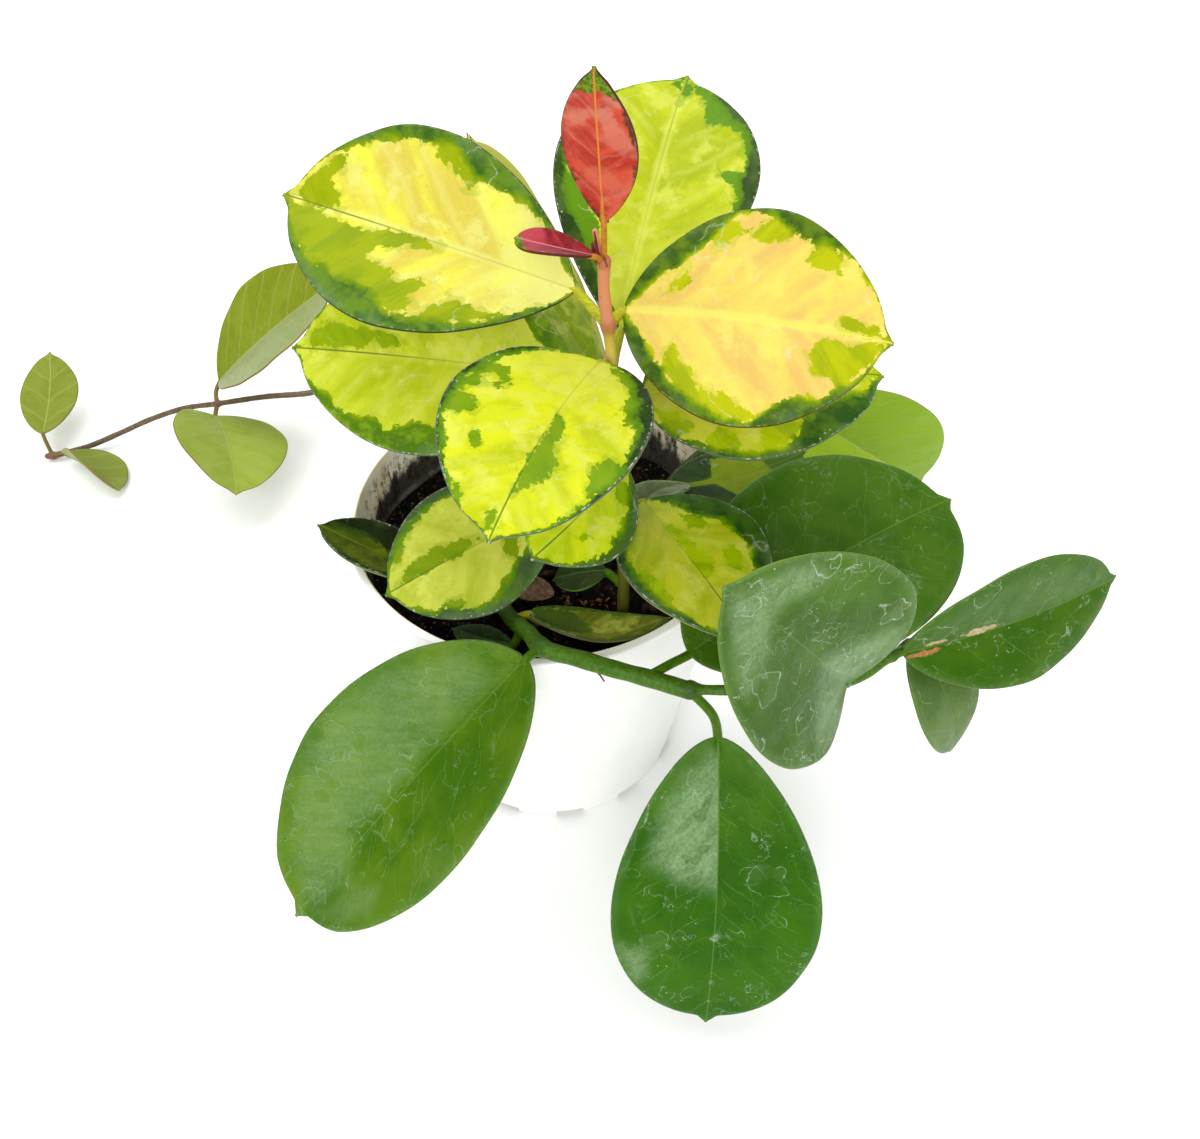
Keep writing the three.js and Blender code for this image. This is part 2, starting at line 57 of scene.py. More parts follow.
# ---- pot and potting mix ---------------------------------------------------------------------------
POT_HEIGHT = 108.0
RIM_RADIUS = 60.0
FOOT_RADIUS = 43.0
WALL = 1.6
FLOOR = 2.0
COLLAR_HEIGHT = 22.0
COLLAR_STEP = 1.6
LIP_HEIGHT = 2.0
LIP_WIDTH = 0.9
COLLAR_FLARE = 1.2
POT_ROUNDINGS = (0, 1.4, 0.6, 0.7, 0.4, 0.6, 0.8, 0.6, 0.8, 0.8, 1.0, 0)     # corner by corner
POT_SHARP = 35                    # degrees between faces from which an edge stays sharp
SLOT_COUNT = 12
SLOT_WIDTH = 9.5
SLOT_HEIGHT = 3.5
SLOT_DEPTH = 6.0
SLOT_START = math.radians(-21)
SOIL_TOP = 88.0
SOIL_GAP = 0.4
SOIL_UNEVEN = 1.4
SOIL_WAVES = [(0.7, 0.11, 0.09), (0.3, 0.31, -0.23)]     # share, and radians per millimetre of x and y
SOIL_RINGS = 70
SOIL_LUMP = 1.0
LUMP_SIZE = 7.0
GRIT_SIZE = 1.8
GRIT_SHARE = 0.45
CRUMB = dict(sizes=(0.35, 1.2), stretch=(1.0, 0.85, 0.75))
BARK = dict(sizes=(1.1, 2.3), stretch=(1.6, 0.8, 0.4))
CHIP = dict(sizes=(0.4, 1.0), stretch=(2.2, 0.7, 0.45))
CRUMB_COUNT = 900
BARK_EVERY = 8                    # one of so many crumbs is a bit of bark
CRUMB_CLEAR = 2.5                 # between the crumbs and the pot's wall
CHIP_SPREAD = 1.6

# ---- leaf blades -----------------------------------------------------------------------------------
BLADE_THICKNESS = 1.0
ROUND_END = 0.965
TIP_ZONE = 0.8
TIP_TAPER = 3.2
TIP_HALF_WIDTH = 0.3
TIP_BLEND = 5                     # how softly the round outline runs into the drawn-out point
MIDRIB_RADIUS = 2.0
FOLD_EASE = 0.5
BASE_HALF_WIDTH = 1.1
POINT_HALF_WIDTH = 0.5
PETIOLE_RADIUS = 1.3
SMALL_LENGTH = 45.0
SMALL_GRID = (44, 26)             # rows along and columns across a blade shorter than that
LARGE_GRID = (76, 44)
VEIN_SPACING = 11.0               # along the midrib, between side veins
VEIN_SLANT = 0.8                  # how far a side vein runs forward for each millimetre outward
RIM_ROUND = 0.7                   # how far in from the edge the blade is at its full thickness
EDGE_WAVE = 0.35
WAVE_TURN = 0.16                  # radians per millimetre
RIPPLE_TURN = 0.37
TOP_QUILTED = 0.22                # how far the blade swells up between its side veins
TOP_VEINS = 0.05                  # how deep the side veins lie
UNDER_QUILTED = 0.05
UNDER_VEINS = 0.08
MIDRIB_WIDTH = 0.75
MIDRIB_SUNK = 0.28
MIDRIB_PROUD = 0.2
RIB_PLACES = (0.03, 0.1, 0.2, 0.34)
RIB_THINS = 0.65                  # share of the stalk's thickness that the rib loses
STALK_FOOT = 0.18                 # share that the stalk is thicker where it leaves the stem
RIB_BURIED = 0.12                 # how far the rib's top stays inside the blade
FAR_OUT = -9.0                    # signed distance of a point that is nowhere near a zone
TOP_FLAG = 1.0                    # tells the top of a blade from its rim, the stalk, and 0 for its underside
RIM_FLAG = 0.5
STALK_FLAG = 0.3
STALK_RIM = 5.0                   # what a stalk has for its distance from the rim
SEED_STEP = 3.7                   # between the patterns of one leaf and the next
STEM_UNEVEN = 0.05

# ---- colours are numbers 0xRRGGBB ------------------------------------------------------------------
PAINT = 0.6                       # the share of a colour that the lights then bring up to full
POT_PAINT = 0.97
CRUMB_PAINT = 1.15 * PAINT
LEAF_GLOSS = (0.75, 1.0, 0.3, 1.0)     # tint of the leaves' reflections
RED_GLOSS = (1.0, 0.6, 0.5, 1.0)       # the same on the red leaves
SPECK_TONE = 0xF0F4E1
DULL_SPECK_TONE = 0xD7DCBE
RED_EDGE_BROWN = 0x684228
RED_TIP_GREENS = (0x467408, 0x80A81E)
POT_WHITES = (0xFAFAF8, 0xF3F3F0, 0xFAF6E2, 0xEADEBE)     # outside and inside, each with its swirl
STAIN_TONE = 0x7C562C
STAIN_HEIGHTS = (106.5, 101.0)    # none above the first, in full below the second
BLOT_TONE = 0x604022
BLOT_HEIGHTS = (107.0, 98.0)
LOW_WALL_DARK = 0x1A120C
LOW_WALL_HEIGHTS = (84.5, 78.5)
SCUFF_TONE = 0x96948C
SOIL_AND_SHADE_TONES = (0x030202, 0x140D09, 0x3C2618, 0x967A5C)
BARK_TONES = (0x180E09, 0x321F14, 0x6E4A2E)

# ---- floor and lights ------------------------------------------------------------------------------
FLOOR_REACH = 4.0                 # metres
FLOOR_WHITE = 0.95
SKY = 0.5
SOFTBOXES = [                     # name, degrees round from the back, degrees up, strength, spread in degrees
    ("softbox_above", -35.0, 70.0, 2.2, 60.0),
    ("softbox_front", -168.0, 32.0, 2.0, 40.0),
    ("softbox_right", 110.0, 45.0, 0.7, 70.0),
]

# ---- stems and leaves: the same routes, places and sizes as in the part ----------------------------
FORM_KEYS = ("root", "base", "tip", "width", "widest", "blunt", "roll", "arch", "fold", "curl", "sweep")


def form(*values, **more):
    """A leaf's form: where it leaves the stem, the blade's two ends, its width and what bends it.

    width, arch and sweep are millimetres, roll and fold are degrees, widest is a share of the length, and
    more holds the petiole's radius and a place that it runs through, where a leaf has its own.
    """
    return {**dict(zip(FORM_KEYS, values)), **more}


LEAVES = {
    "leaf_red": form(
        (18, -27, 214), (18, -30, 226), (16, -38, 264), 17, 0.51, 0.7, 7, 1, 6, 0.05, 0.4, petiole=0.7),
    "leaf_red_folded": form(
        (18, -27, 214), (15.5, -30, 217.5), (-2.3, -21.4, 216.5), 9.5, 0.54, 0.43, 16, 2, 52, 0.12, -1.8,
        petiole=0.7),
    "leaf_top_left": form(
        (19, -28, 197), (11, -18, 200), (-60, 3, 213), 52, 0.56, 0.56, 33, 3, 16, 0, -0.6),
    "leaf_top_right": form(
        (19, -28, 197), (23, -20, 196), (84, -39, 200), 53, 0.51, 0.56, -35, 4.5, 9, 0.04, 0),
    "leaf_back_right": form(
        (20, -28, 185), (22, -19, 189), (40, 46, 222), 52, 0.57, 0.58, -6, 4, 13, 0, -0.6),
    "leaf_front": form((20, -28, 184), (17, -33, 190), (-6, -90, 188), 48, 0.51, 0.53, 4, 4, 20, 0.02, 0.8),
    "leaf_middle_left": form(
        (21, -27, 173), (11, -20, 175), (-64, -5, 173), 51, 0.52, 0.57, 39, 2, 7, 0.03, 0.4),
    "leaf_middle_right": form(
        (21, -27, 171), (28, -23, 171), (90, -17, 173), 49, 0.46, 0.57, -12, 3, 2, 0.07, -1),
    "leaf_back_left": form(
        (21.6, -27, 158), (19, -2, 158), (-18.8, 44.7, 206.8), 39, 0.61, 0.42, -25, -2.5, 4, 0.06, -0.9),
    "leaf_low_front": form(
        (22.4, -27.6, 149), (24, -34, 157), (0, -59, 149), 29, 0.52, 0.63, 19, 0.8, 4, 0.05, -0.6),
    "leaf_low_right": form(
        (23.2, -28, 131), (29, -27, 138), (55, -71, 132), 42, 0.49, 0.59, 4, 2.2, 13, -0.03, 0.8),
    "leaf_inner_right": form(
        (24, -28, 114), (27.6, -21.4, 128), (44.5, 0.4, 118), 14, 0.53, 0.63, 11, 1, 10, 0, -3,
        via=(26.2, -23.4, 118)),
    "leaf_inner_dark": form((24, -27, 103), (19, -22, 104), (3, -22, 100), 15, 0.5, 0.6, 0, 1, 8, 0, 0),
    "leaf_low_left": form(
        (-1, -12, 118), (4, -13, 122), (-44, -37, 110), 41, 0.53, 0.57, 21, 2.2, 4, 0.05, 0,
        via=(3.5, -10.5, 121)),
    "leaf_over_rim_left": form(
        (-13, -25, 91), (-32, -27, 106), (-65, -17, 118.5), 20, 0.49, 0.6, 3, -0.2, 34, 0.06, 0.3,
        via=(-22, -27, 98)),
    "leaf_boat": form(
        (-8, -38, 100.2), (-3.4, -36.9, 102.6), (37.5, -39, 103), 21, 0.47, 0.56, 22, -6, 35, 0.1, 0.5),
    "leaf_small_front": form(
        (-5, -43, 103), (-8, -45, 98), (-26, -39, 98), 11, 0.52, 0.6, -10, -1, 20, 0.06, 0),
    "leaf_dark_left": form(
        (1, -57, 112), (-3, -61, 112), (-67, -109, 58), 60, 0.5, 0.47, 11, 2.4, 21, -0.11, 0),
    "leaf_dark_front": form(
        (41, -71, 111), (49, -76, 97), (48, -123, 19), 59, 0.6, 0.42, -2, 4.3, 7, 0.03, -1.3,
        via=(47.5, -73.5, 103)),
    "leaf_dark_right": form(
        (29, -68, 112.5), (41, -61, 114), (120, -9, 121), 61, 0.53, 0.47, -16, 5, 12, 0, -1.3,
        via=(36, -64, 113.5)),
    "leaf_dark_upright": form(
        (82, -70.5, 114), (81, -74, 118), (44, -87, 171), 59, 0.45, 0.5, 67, 2.2, 32, 0, 0.5),
    "leaf_dark_far": form(
        (96, -60, 112), (99, -59, 112), (165, -31, 112), 39, 0.52, 0.56, -65, 2.3, 27, 0.14, 1.3),
    "leaf_dark_hanging": form(
        (96, -60, 111.4), (104.5, -50, 105), (120, -63.5, 71), 25, 0.49, 0.54, -9, 5.3, 9, 0.04, -0.9,
        via=(99.5, -55, 107.5)),
    "leaf_back_olive": form(
        (33, 6, 101), (38.8, 1.3, 115.3), (81, 16.8, 116.3), 28, 0.44, 0.62, 7, -0.2, 6, 0.07, 2.3,
        via=(34.5, 3.4, 108)),
    "leaf_back_green": form(
        (71, 40, 109), (82, 52.5, 105.5), (134.5, 57.5, 65), 53, 0.49, 0.45, -85, 5.8, 13, -0.02, -1),
    "vine_leaf_upper": form(
        (-153, 152, 22), (-154, 164, 25), (-92, 165, 78), 54, 0.51, 0.56, -18, 2.3, 24, 0, -0.4, petiole=1,
        via=(-154.5, 158, 23.5)),
    "vine_leaf_near": form(
        (-153, 152, 22), (-153, 146, 20), (-132, 92, 24), 49, 0.49, 0.56, 26, 3.7, 19, 0, -0.7, petiole=1),
    "vine_leaf_end": form(
        (-229, 139.5, 2.6), (-232, 144.5, 11), (-236, 184, 26), 26, 0.51, 0.59, -1, -1.2, 10, 0.09, 1.1,
        petiole=0.8),
    "vine_leaf_low": form(
        (-229, 139.5, 2.6), (-222.5, 138, 6), (-191.5, 114.5, 4.5), 27, 0.53, 0.57, 37, 0.4, 45, 0, -1.5,
        petiole=0.8),
}

# runs: radius and route of each part of a stem; nodes: places where it swells, and to what radius
STEMS = {
    "stem_upright": dict(
        runs=[
            (1.8, [
                (24, -26, 64), (24, -26, 76), (24, -26, 88), (24, -28, 112), (23, -28, 138), (21, -27, 174)
            ]),
            (1.4, [
                (21.4, -27, 168), (20, -28, 186), (19, -28, 197), (18, -27, 206), (18, -27, 214)
            ]),
            (0.7, [
                (18, -27, 213), (16.8, -26.4, 217), (16, -26, 221)
            ]),
        ],
        nodes=[((19, -28, 197), 1.9), ((18, -27, 214), 1.7)],
    ),
    "stem_trailing": dict(
        runs=[
            (2.4, [
                (-14, -23, 64), (-14, -23, 76), (-14, -23, 89.5), (-13, -26, 94), (-9, -35, 98),
                (-3, -48, 107), (2, -58, 112.4), (12, -62, 113), (20, -65, 113), (30, -68, 112.5),
                (41, -71, 111)
            ]),
            (1.4, [
                (39, -70.6, 111.2), (51, -71.5, 112), (67, -72, 114), (83, -70, 114), (96, -60, 112)
            ]),
        ],
        nodes=[((1, -57, 112.2), 2.9), ((41, -71, 111), 2.6), ((96, -60, 112), 1.9)],
    ),
    "stem_left_shoot": dict(
        runs=[
            (1.7, [
                (-5, -15, 64), (-5, -15, 76), (-5, -15, 87), (-4, -14, 102), (-1, -12, 119)
            ]),
        ],
        nodes=[],
    ),
    "stem_back_shoot": dict(
        runs=[
            (1.5, [
                (30, 2, 64), (30, 2, 76), (30, 2, 87), (33, 6, 101), (42, 15, 109), (53, 24, 113),
                (63, 32, 112), (72, 41, 108.5)
            ]),
        ],
        nodes=[],
    ),
    "stem_vine": dict(
        runs=[
            (1.2, [
                (-24, 16, 64), (-24, 16, 76), (-24, 16, 87), (-32, 24, 106), (-45, 40, 113), (-60, 61, 106),
                (-80, 90, 82), (-103, 119, 55), (-128, 141, 35), (-153, 152, 22), (-171, 157, 15),
                (-187, 156, 9.5), (-201, 151, 5.5), (-213, 145, 3.5), (-226, 140, 2.6), (-231, 139, 2.4)
            ]),
        ],
        nodes=[((-153, 152, 22), 1.8), ((-229, 139.5, 2.6), 2)],
    ),
}

# ---- small dry things, and the bud ----------------------------------------------------------------
FLAT_BIT = dict(widest=0.5, blunt=0.5, roll=15, arch=1.2, fold=28, curl=0.2, sweep=0.4)
DRY_BITS = [
    dict(FLAT_BIT, base=(3.0, -20, 91.6), tip=(-10.0, -19, 92.2), width=9),
    dict(FLAT_BIT, base=(31, 14, 91.0), tip=(38, 8, 92.5), width=5),
    dict(FLAT_BIT, base=(-30, -14, 91.2), tip=(-34, -22, 91.8), width=4),
]
CHIP_PLACES = [(7.9, -20.9), (13.4, -21.7), (18.6, -20.9), (-38, -6), (44, 4)]
CHIPS_EACH = 4
DRY_STRANDS = [
    (0.55, [(5.8, -9.3, 92), (7.4, -12.5, 93), (9.4, -17.2, 91.6)]),
    (0.4, [(7.4, -12.5, 93), (10, -13.5, 93.4), (11.5, -13, 92.4)]),
    (0.5, [(3, -46, 91), (5, -52, 101), (8, -57.2, 108.8), (10.5, -60.2, 109.4), (13.9, -61.6, 109.1),
           (16.6, -62.5, 107.5), (18.2, -64.2, 106.2)]),
    (0.35, [(15.4, -62.1, 108.2), (16.8, -62.6, 108.4), (18.2, -63.0, 108.6)]),
]
DRY_TONES = [0xB28A6E, 0x7C5A44, 0xCEAC8C]
CHIP_TONES = [0xAA7642, 0x764C2A, 0xD0A46C]
ROOT_TONES = [0x8C503A, 0x5E3428, 0xB67E5C]
BUD_SCALE = dict(widest=0.4, blunt=0.7, arch=0.2, fold=30, curl=0.1, sweep=0)
BUD_SCALES = [
    dict(BUD_SCALE, base=(17.6, -27.6, 213.5), tip=(15.9, -26.6, 221.5), width=2.6, roll=180),
    dict(BUD_SCALE, base=(18.6, -27.8, 213.5), tip=(17.4, -27.4, 219.5), width=2.2, roll=150),
    dict(BUD_SCALE, base=(16.9, -27.4, 213.8), tip=(15.2, -27.0, 218.8), width=2.0, roll=210),
]
BUD_TONES = [0xC66062, 0x8C303E, 0x561C2C]

# ---- numbers and curves ----------------------------------------------------------------------------
def smooth(low, high, value):
    """0 below low, 1 above high, and a soft step between them."""
    share = np.clip((np.asarray(value, float) - low) / (high - low), 0, 1)
    return share * share * (3 - 2 * share)


def unit(vector):
    return vector / np.linalg.norm(vector)


def curve_through(points, step=1.5):
    """Points along a centripetal Catmull-Rom curve, about step apart."""
    knots = [np.array(point, float) for point in points]
    knots = [2 * knots[0] - knots[1], *knots, 2 * knots[-1] - knots[-2]]
    path = []
    for before, start, end, after in zip(knots, knots[1:], knots[2:], knots[3:]):
        gaps = [math.sqrt(max(np.linalg.norm(b - a), 1e-3))
                for a, b in ((before, start), (start, end), (end, after))]
        leave = ((start - before) / gaps[0] - (end - before) / (gaps[0] + gaps[1])) * gaps[1] + end - start
        reach = ((after - end) / gaps[2] - (after - start) / (gaps[1] + gaps[2])) * gaps[1] + end - start
        steps = max(2, round(np.linalg.norm(end - start) / step))
        for share in np.arange(steps) / steps:
            square, cube = share**2, share**3
            path.append((2 * cube - 3 * square + 1) * start + (cube - 2 * square + share) * leave
                        + (3 * square - 2 * cube) * end + (cube - square) * reach)
    path.append(knots[-2])
    return np.array(path)


def lengths_along(path):
    return np.concatenate([[0], np.cumsum(np.linalg.norm(np.diff(path, axis=0), axis=1))])


# ---- shells: points in millimetres, faces, and values kept on each point ---------------------------
def ring_faces(rings, sides):
    """Faces of a tube whose rings follow one another, with a fan on each end's own middle point."""
    faces = []
    for ring in range(rings - 1):
        for side in range(sides):
            turn = (side + 1) % sides
            low = ring * sides
            faces.append((low + side, low + turn, low + sides + turn, low + sides + side))
    first, last = rings * sides, rings * sides + 1
    top = (rings - 1) * sides
    for side in range(sides):
        turn = (side + 1) % sides
        faces.append((first, turn, side))
        faces.append((last, top + side, top + turn))
    return faces


def tube_shell(path, radii, sides=20):
    """A closed round tube along a path, with domed ends."""
    path = np.asarray(path, float)
    radii = np.broadcast_to(np.asarray(radii, float), (len(path),)).copy()
    ahead = unit(path[1] - path[0])
    behind = unit(path[-1] - path[-2])
    dome = [(math.cos(angle), math.sin(angle)) for angle in np.radians([25, 50, 75])]
    start = [(path[0] - ahead * radii[0] * out, radii[0] * wide) for wide, out in reversed(dome)]
    end = [(path[-1] + behind * radii[-1] * out, radii[-1] * wide) for wide, out in dome]
    centres = np.array([place for place, _ in start] + list(path) + [place for place, _ in end])
    radii = np.array([r for _, r in start] + list(radii) + [r for _, r in end])
    normal = unit(np.cross(ahead, [0.3, 0.9, 0.2] if abs(ahead[0]) > 0.8 else [1, 0.1, 0.2]))
    angles = 2 * np.pi * np.arange(sides) / sides
    rings = []
    for i, centre in enumerate(centres):
        direction = unit(centres[min(i + 1, len(centres) - 1)] - centres[max(i - 1, 0)])
        normal = unit(normal - direction * (normal @ direction))
        other = np.cross(direction, normal)
        rings.append(centre + radii[i] * (np.outer(np.cos(angles), normal) + np.outer(np.sin(angles), other)))
    caps = [path[0] - ahead * radii[3], path[-1] + behind * radii[-4]]
    points = np.vstack([*rings, caps])
    return points, ring_faces(len(rings), sides), {}


def join(shells):
    """Several shells as one, with every field that any of them holds."""
    points, faces, fields = [], [], {}
    count = 0
    names = {name: values for shell in shells for name, values in shell[2].items()}
    for shell_points, shell_faces, shell_fields in shells:
        faces += [tuple(corner + count for corner in face) for face in shell_faces]
        count += len(shell_points)
        points.append(shell_points)
        for name, like in names.items():
            blank = np.zeros((len(shell_points), *np.shape(like)[1:]))
            fields.setdefault(name, []).append(shell_fields.get(name, blank))
    return np.vstack(points), faces, {name: np.concatenate(values) for name, values in fields.items()}


def mesh_piece(name, shell, material, slot, node=None):
    """A smooth mesh object on the one body, which may stand for a node of the part."""
    points, faces, fields = shell
    mesh = bpy.data.meshes.new(name)
    mesh.from_pydata((points * MM).tolist(), [], faces)
    for field, values in fields.items():
        kind = "FLOAT_VECTOR" if np.ndim(values) == 2 else "FLOAT"
        attribute = mesh.attributes.new(field, kind, "POINT")
        attribute.data.foreach_set("vector" if kind == "FLOAT_VECTOR" else "value", np.ravel(values))
    mesh.shade_smooth()
    mesh.materials.append(material)
    piece = bpy.data.objects.new(name, mesh)
    bpy.context.collection.objects.link(piece)
    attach(piece, "root")
    if node:
        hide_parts(node)
    return piece


# ---- leaf shapes -----------------------------------------------------------------------------------
def half_width(leaf, t):
    """Half the blade's width at t, from 0 at the base to 1 at the tip."""
    t = np.asarray(t, float)
    along = np.minimum(t / ROUND_END, 1)
    lean = math.log(0.5) / math.log(leaf["widest"])
    body = np.maximum(np.sin(np.pi * along**lean), 0) ** leaf["blunt"]
    point = np.where(t > TIP_ZONE, np.minimum(TIP_TAPER * (1 - t), TIP_HALF_WIDTH), 0)
    least = np.where(t > 0.5, POINT_HALF_WIDTH, BASE_HALF_WIDTH)
    blended = (body**TIP_BLEND + point**TIP_BLEND) ** (1 / TIP_BLEND)
    return np.maximum(leaf["width"] / 2 * blended, least)


def leaf_axes(leaf):
    """The blade's base, its length, and a matrix whose rows are its own X, Y and Z."""
    base = np.array(leaf["base"], float)
    reach = np.array(leaf["tip"], float) - base
    length = np.linalg.norm(reach)
    along = reach / length
    left = unit(np.cross([0, 0, 1], along))
    up = np.cross(along, left)
    roll = math.radians(-leaf["roll"])
    across = left * math.cos(roll) + up * math.sin(roll)
    out = up * math.cos(roll) - left * math.sin(roll)
    return base, length, np.array([along, across, out])


def blade_middle(leaf, length, t, side):
    """Points of the blade's middle surface, in its own axes."""
    half = half_width(leaf, t)
    across = side * half
    fold = np.radians(leaf["fold"]) * (1 - FOLD_EASE * t)
    lift = np.hypot(across, MIDRIB_RADIUS) - MIDRIB_RADIUS
    bow = 4 * t * (1 - t)
    x = length * t + 0 * side
    y = -(across * np.cos(fold) + leaf["sweep"] * bow)
    z = lift * np.sin(fold) - leaf["curl"] * side * side * half + leaf["arch"] * bow
    return np.stack([x, y, z], axis=-1)


def vein_phase(x, y):
    """0 on a side vein and 1 halfway between two."""
    place = (x - VEIN_SLANT * np.abs(y)) / VEIN_SPACING
    return 1 - np.abs(2 * (place - np.floor(place)) - 1)


def blade_shell(leaf, relief=1.0, thickness=BLADE_THICKNESS):
    """The blade as a closed shell with a rounded rim, a sunk midrib, side veins and a soft wave."""
    length = leaf_axes(leaf)[1]
    rows, columns = SMALL_GRID if length < SMALL_LENGTH else LARGE_GRID
    t = ((1 - np.cos(np.pi * np.arange(rows + 1) / rows)) / 2)[:, None]
    side = np.sin(np.linspace(-np.pi / 2, np.pi / 2, columns + 1))[None, :]
    middle = blade_middle(leaf, length, t, side)
    half = half_width(leaf, t)
    x, y = length * t + 0 * side, side * half
    rim = (1 - np.abs(side)) * half

    phase = leaf["width"] + 3 * leaf["tip"][0]
    wave = np.sin(x * WAVE_TURN + phase + 2 * np.sign(side)) + 0.6 * np.sin(x * RIPPLE_TURN + 2 * phase)
    wave *= side**4 * smooth(0, 0.12, t) * smooth(1, 0.9, t) * min(half.max() / 25, 1)
    middle[..., 2] += EDGE_WAVE * wave

    ahead = np.gradient(middle, axis=0)
    normal = np.cross(ahead, -np.gradient(middle, axis=1))
    normal /= np.linalg.norm(normal, axis=-1, keepdims=True)

    veins = smooth(0.22, 0, vein_phase(x, y)) * smooth(1.5, 4, rim) * smooth(0.6, 2.5, np.abs(y))
    quilt = vein_phase(x, y) * smooth(1, 5, rim) * smooth(0.5, 5, np.abs(y))
    fade = smooth(1.02, 0.7, t)
    groove = np.exp(-((y / MIDRIB_WIDTH) ** 2)) * fade
    top = relief * (TOP_QUILTED * quilt - TOP_VEINS * veins - MIDRIB_SUNK * groove)
    under = relief * (UNDER_QUILTED * quilt - UNDER_VEINS * veins - MIDRIB_PROUD * groove)
    closing = np.sqrt(1 - (1 - np.clip(rim / RIM_ROUND, 0, 1)) ** 2)
    ends = np.minimum(smooth(0, 1.2, length * (1 - t)), 1) * 0.75 + 0.25
    body = thickness / 2 * closing * ends
    inner = smooth(0, 1, rim)
    upper = middle + normal * (body + top * inner)[..., None]
    lower = middle + normal * (under * inner - body)[..., None]

    ring = 2 * columns
    points = np.concatenate([upper, lower[:, -2:0:-1]], axis=1).reshape(-1, 3)
    points = np.vstack([points, points[:ring].mean(0), points[-ring:].mean(0)])
    grid = np.stack(np.broadcast_arrays(t, side, half, TOP_FLAG), axis=-1)
    beneath = grid[:, -2:0:-1] * (1, 1, 1, 0)
    grid[:, [0, columns], 3] = RIM_FLAG
    around = np.concatenate([grid, beneath], axis=1).reshape(-1, 4)
    ends = [(0, 0, half[0, 0], RIM_FLAG), (1, 0, half[-1, 0], RIM_FLAG)]
    ts, sides, halves, flags = np.vstack([around, ends]).T
    fields = {
        "leaf": np.stack([ts * length, sides * halves, flags], axis=-1),
        "rim": (1 - np.abs(sides)) * halves,
        "stalk": np.zeros(len(ts)),
    }
    fields.update(zone_fields(leaf, length, ts, sides, halves))
    return points, ring_faces(rows + 1, ring), fields


def petiole_shell(leaf):
    """The leaf stalk, which runs on under the blade as a rib that thins out."""
    base, length, axes = leaf_axes(leaf)
    own = lambda place: axes @ (np.array(place, float) - base)
    radius = leaf.get("petiole", PETIOLE_RADIUS)
    route = [own(leaf["root"])] + ([own(leaf["via"])] if "via" in leaf else [])
    route.append(np.array([0, 0, RIB_BURIED - 0.6 * radius]))
    under = []
    for share in RIB_PLACES:
        place = blade_middle(leaf, length, np.array(share), np.array(0.0))
        thick = radius * (1 - RIB_THINS * share / RIB_PLACES[-1])
        under.append(place - np.array([0, 0, thick - RIB_BURIED]))
    path = curve_through(route + under, step=1.2)
    lengths = lengths_along(path)
    blade_start = lengths[np.argmin(np.linalg.norm(path, axis=1))]
    past = (lengths - blade_start) / (length * RIB_PLACES[-1])
    radii = radius * (1 - RIB_THINS * np.clip(past, 0, 1)) * (1 + STALK_FOOT * smooth(3.5, 0, lengths))
    points, faces, _ = tube_shell(path, radii, sides=16)
    nearest = [int(np.argmin(np.linalg.norm(path - point, axis=1))) for point in points]
    fields = {
        "leaf": np.stack([points[:, 0], points[:, 1], np.full(len(points), STALK_FLAG)], axis=-1),
        "rim": np.full(len(points), STALK_RIM),
        "stalk": 1 - smooth(0.02, 0.5, past[nearest]) * 0.8,
        "dark": np.full(len(points), FAR_OUT),
        "patch": np.full(len(points), FAR_OUT),
    }
    return points, faces, fields


# ---- painted zones, as signed distances in the flattened blade -------------------------------------
def signed_distance(outline, x, y):
    """Distance to a closed outline in millimetres, positive inside it."""
    ends = np.roll(outline, -1, axis=0)
    place = np.stack([x, y], axis=-1)[:, None, :]
    span = (ends - outline)[None]
    share = ((place - outline) * span).sum(-1) / np.maximum((span**2).sum(-1), 1e-9)
    nearest = outline + np.clip(share, 0, 1)[..., None] * span
    distance = np.linalg.norm(place - nearest, axis=-1).min(1)
    above = outline[None, :, 1] > y[:, None]
    above_end = ends[None, :, 1] > y[:, None]
    slope = span[..., 0] / np.where(span[..., 1] == 0, 1e-9, span[..., 1])
    crossing = outline[None, :, 0] + (y[:, None] - outline[None, :, 1]) * slope
    inside = ((above != above_end) & (x[:, None] < crossing)).sum(1) % 2 == 1
    return np.where(inside, distance, -distance)


def flattened(leaf, length, outline):
    """An outline of t, side pairs in percent as millimetres along and across the blade."""
    corners = np.reshape(outline, (-1, 2)) / 100
    following = np.roll(corners, -1, axis=0)
    shares = np.arange(4)[:, None, None] / 4
    fine = (corners + (following - corners) * shares).transpose(1, 0, 2).reshape(-1, 2)
    return np.stack([length * fine[:, 0], fine[:, 1] * half_width(leaf, np.clip(fine[:, 0], 0, 1))], axis=-1)


def zone_fields(leaf, length, t, side, half):
    """How far inside its patches, and inside its dark margin, each point of a leaf is."""
    x, y = t * length, side * half
    patch = np.full(len(t), FAR_OUT)
    for outline in leaf.get("patches", []):
        patch = np.maximum(patch, signed_distance(flattened(leaf, length, outline), x, y))
    for outline in leaf.get("gaps", []):
        patch = np.minimum(patch, -signed_distance(flattened(leaf, length, outline), x, y))
    dark = np.full(len(t), FAR_OUT)
    for key, sign in (("margin_right", 1), ("margin_left", -1)):
        if key in leaf:
            places, shares = np.reshape(leaf[key], (-1, 2)).T / 100
            inner = np.interp(t, places, shares)
            dark = np.maximum(dark, np.where(sign * side > 0, (sign * side - inner) * half, FAR_OUT))
    return {"dark": np.maximum(dark, FAR_OUT), "patch": np.maximum(patch, FAR_OUT)}


def placed(leaf, points, faces, fields):
    """A shell in the blade's own axes, put where the blade stands."""
    base, _, axes = leaf_axes(leaf)
    return base + points @ axes, faces, fields


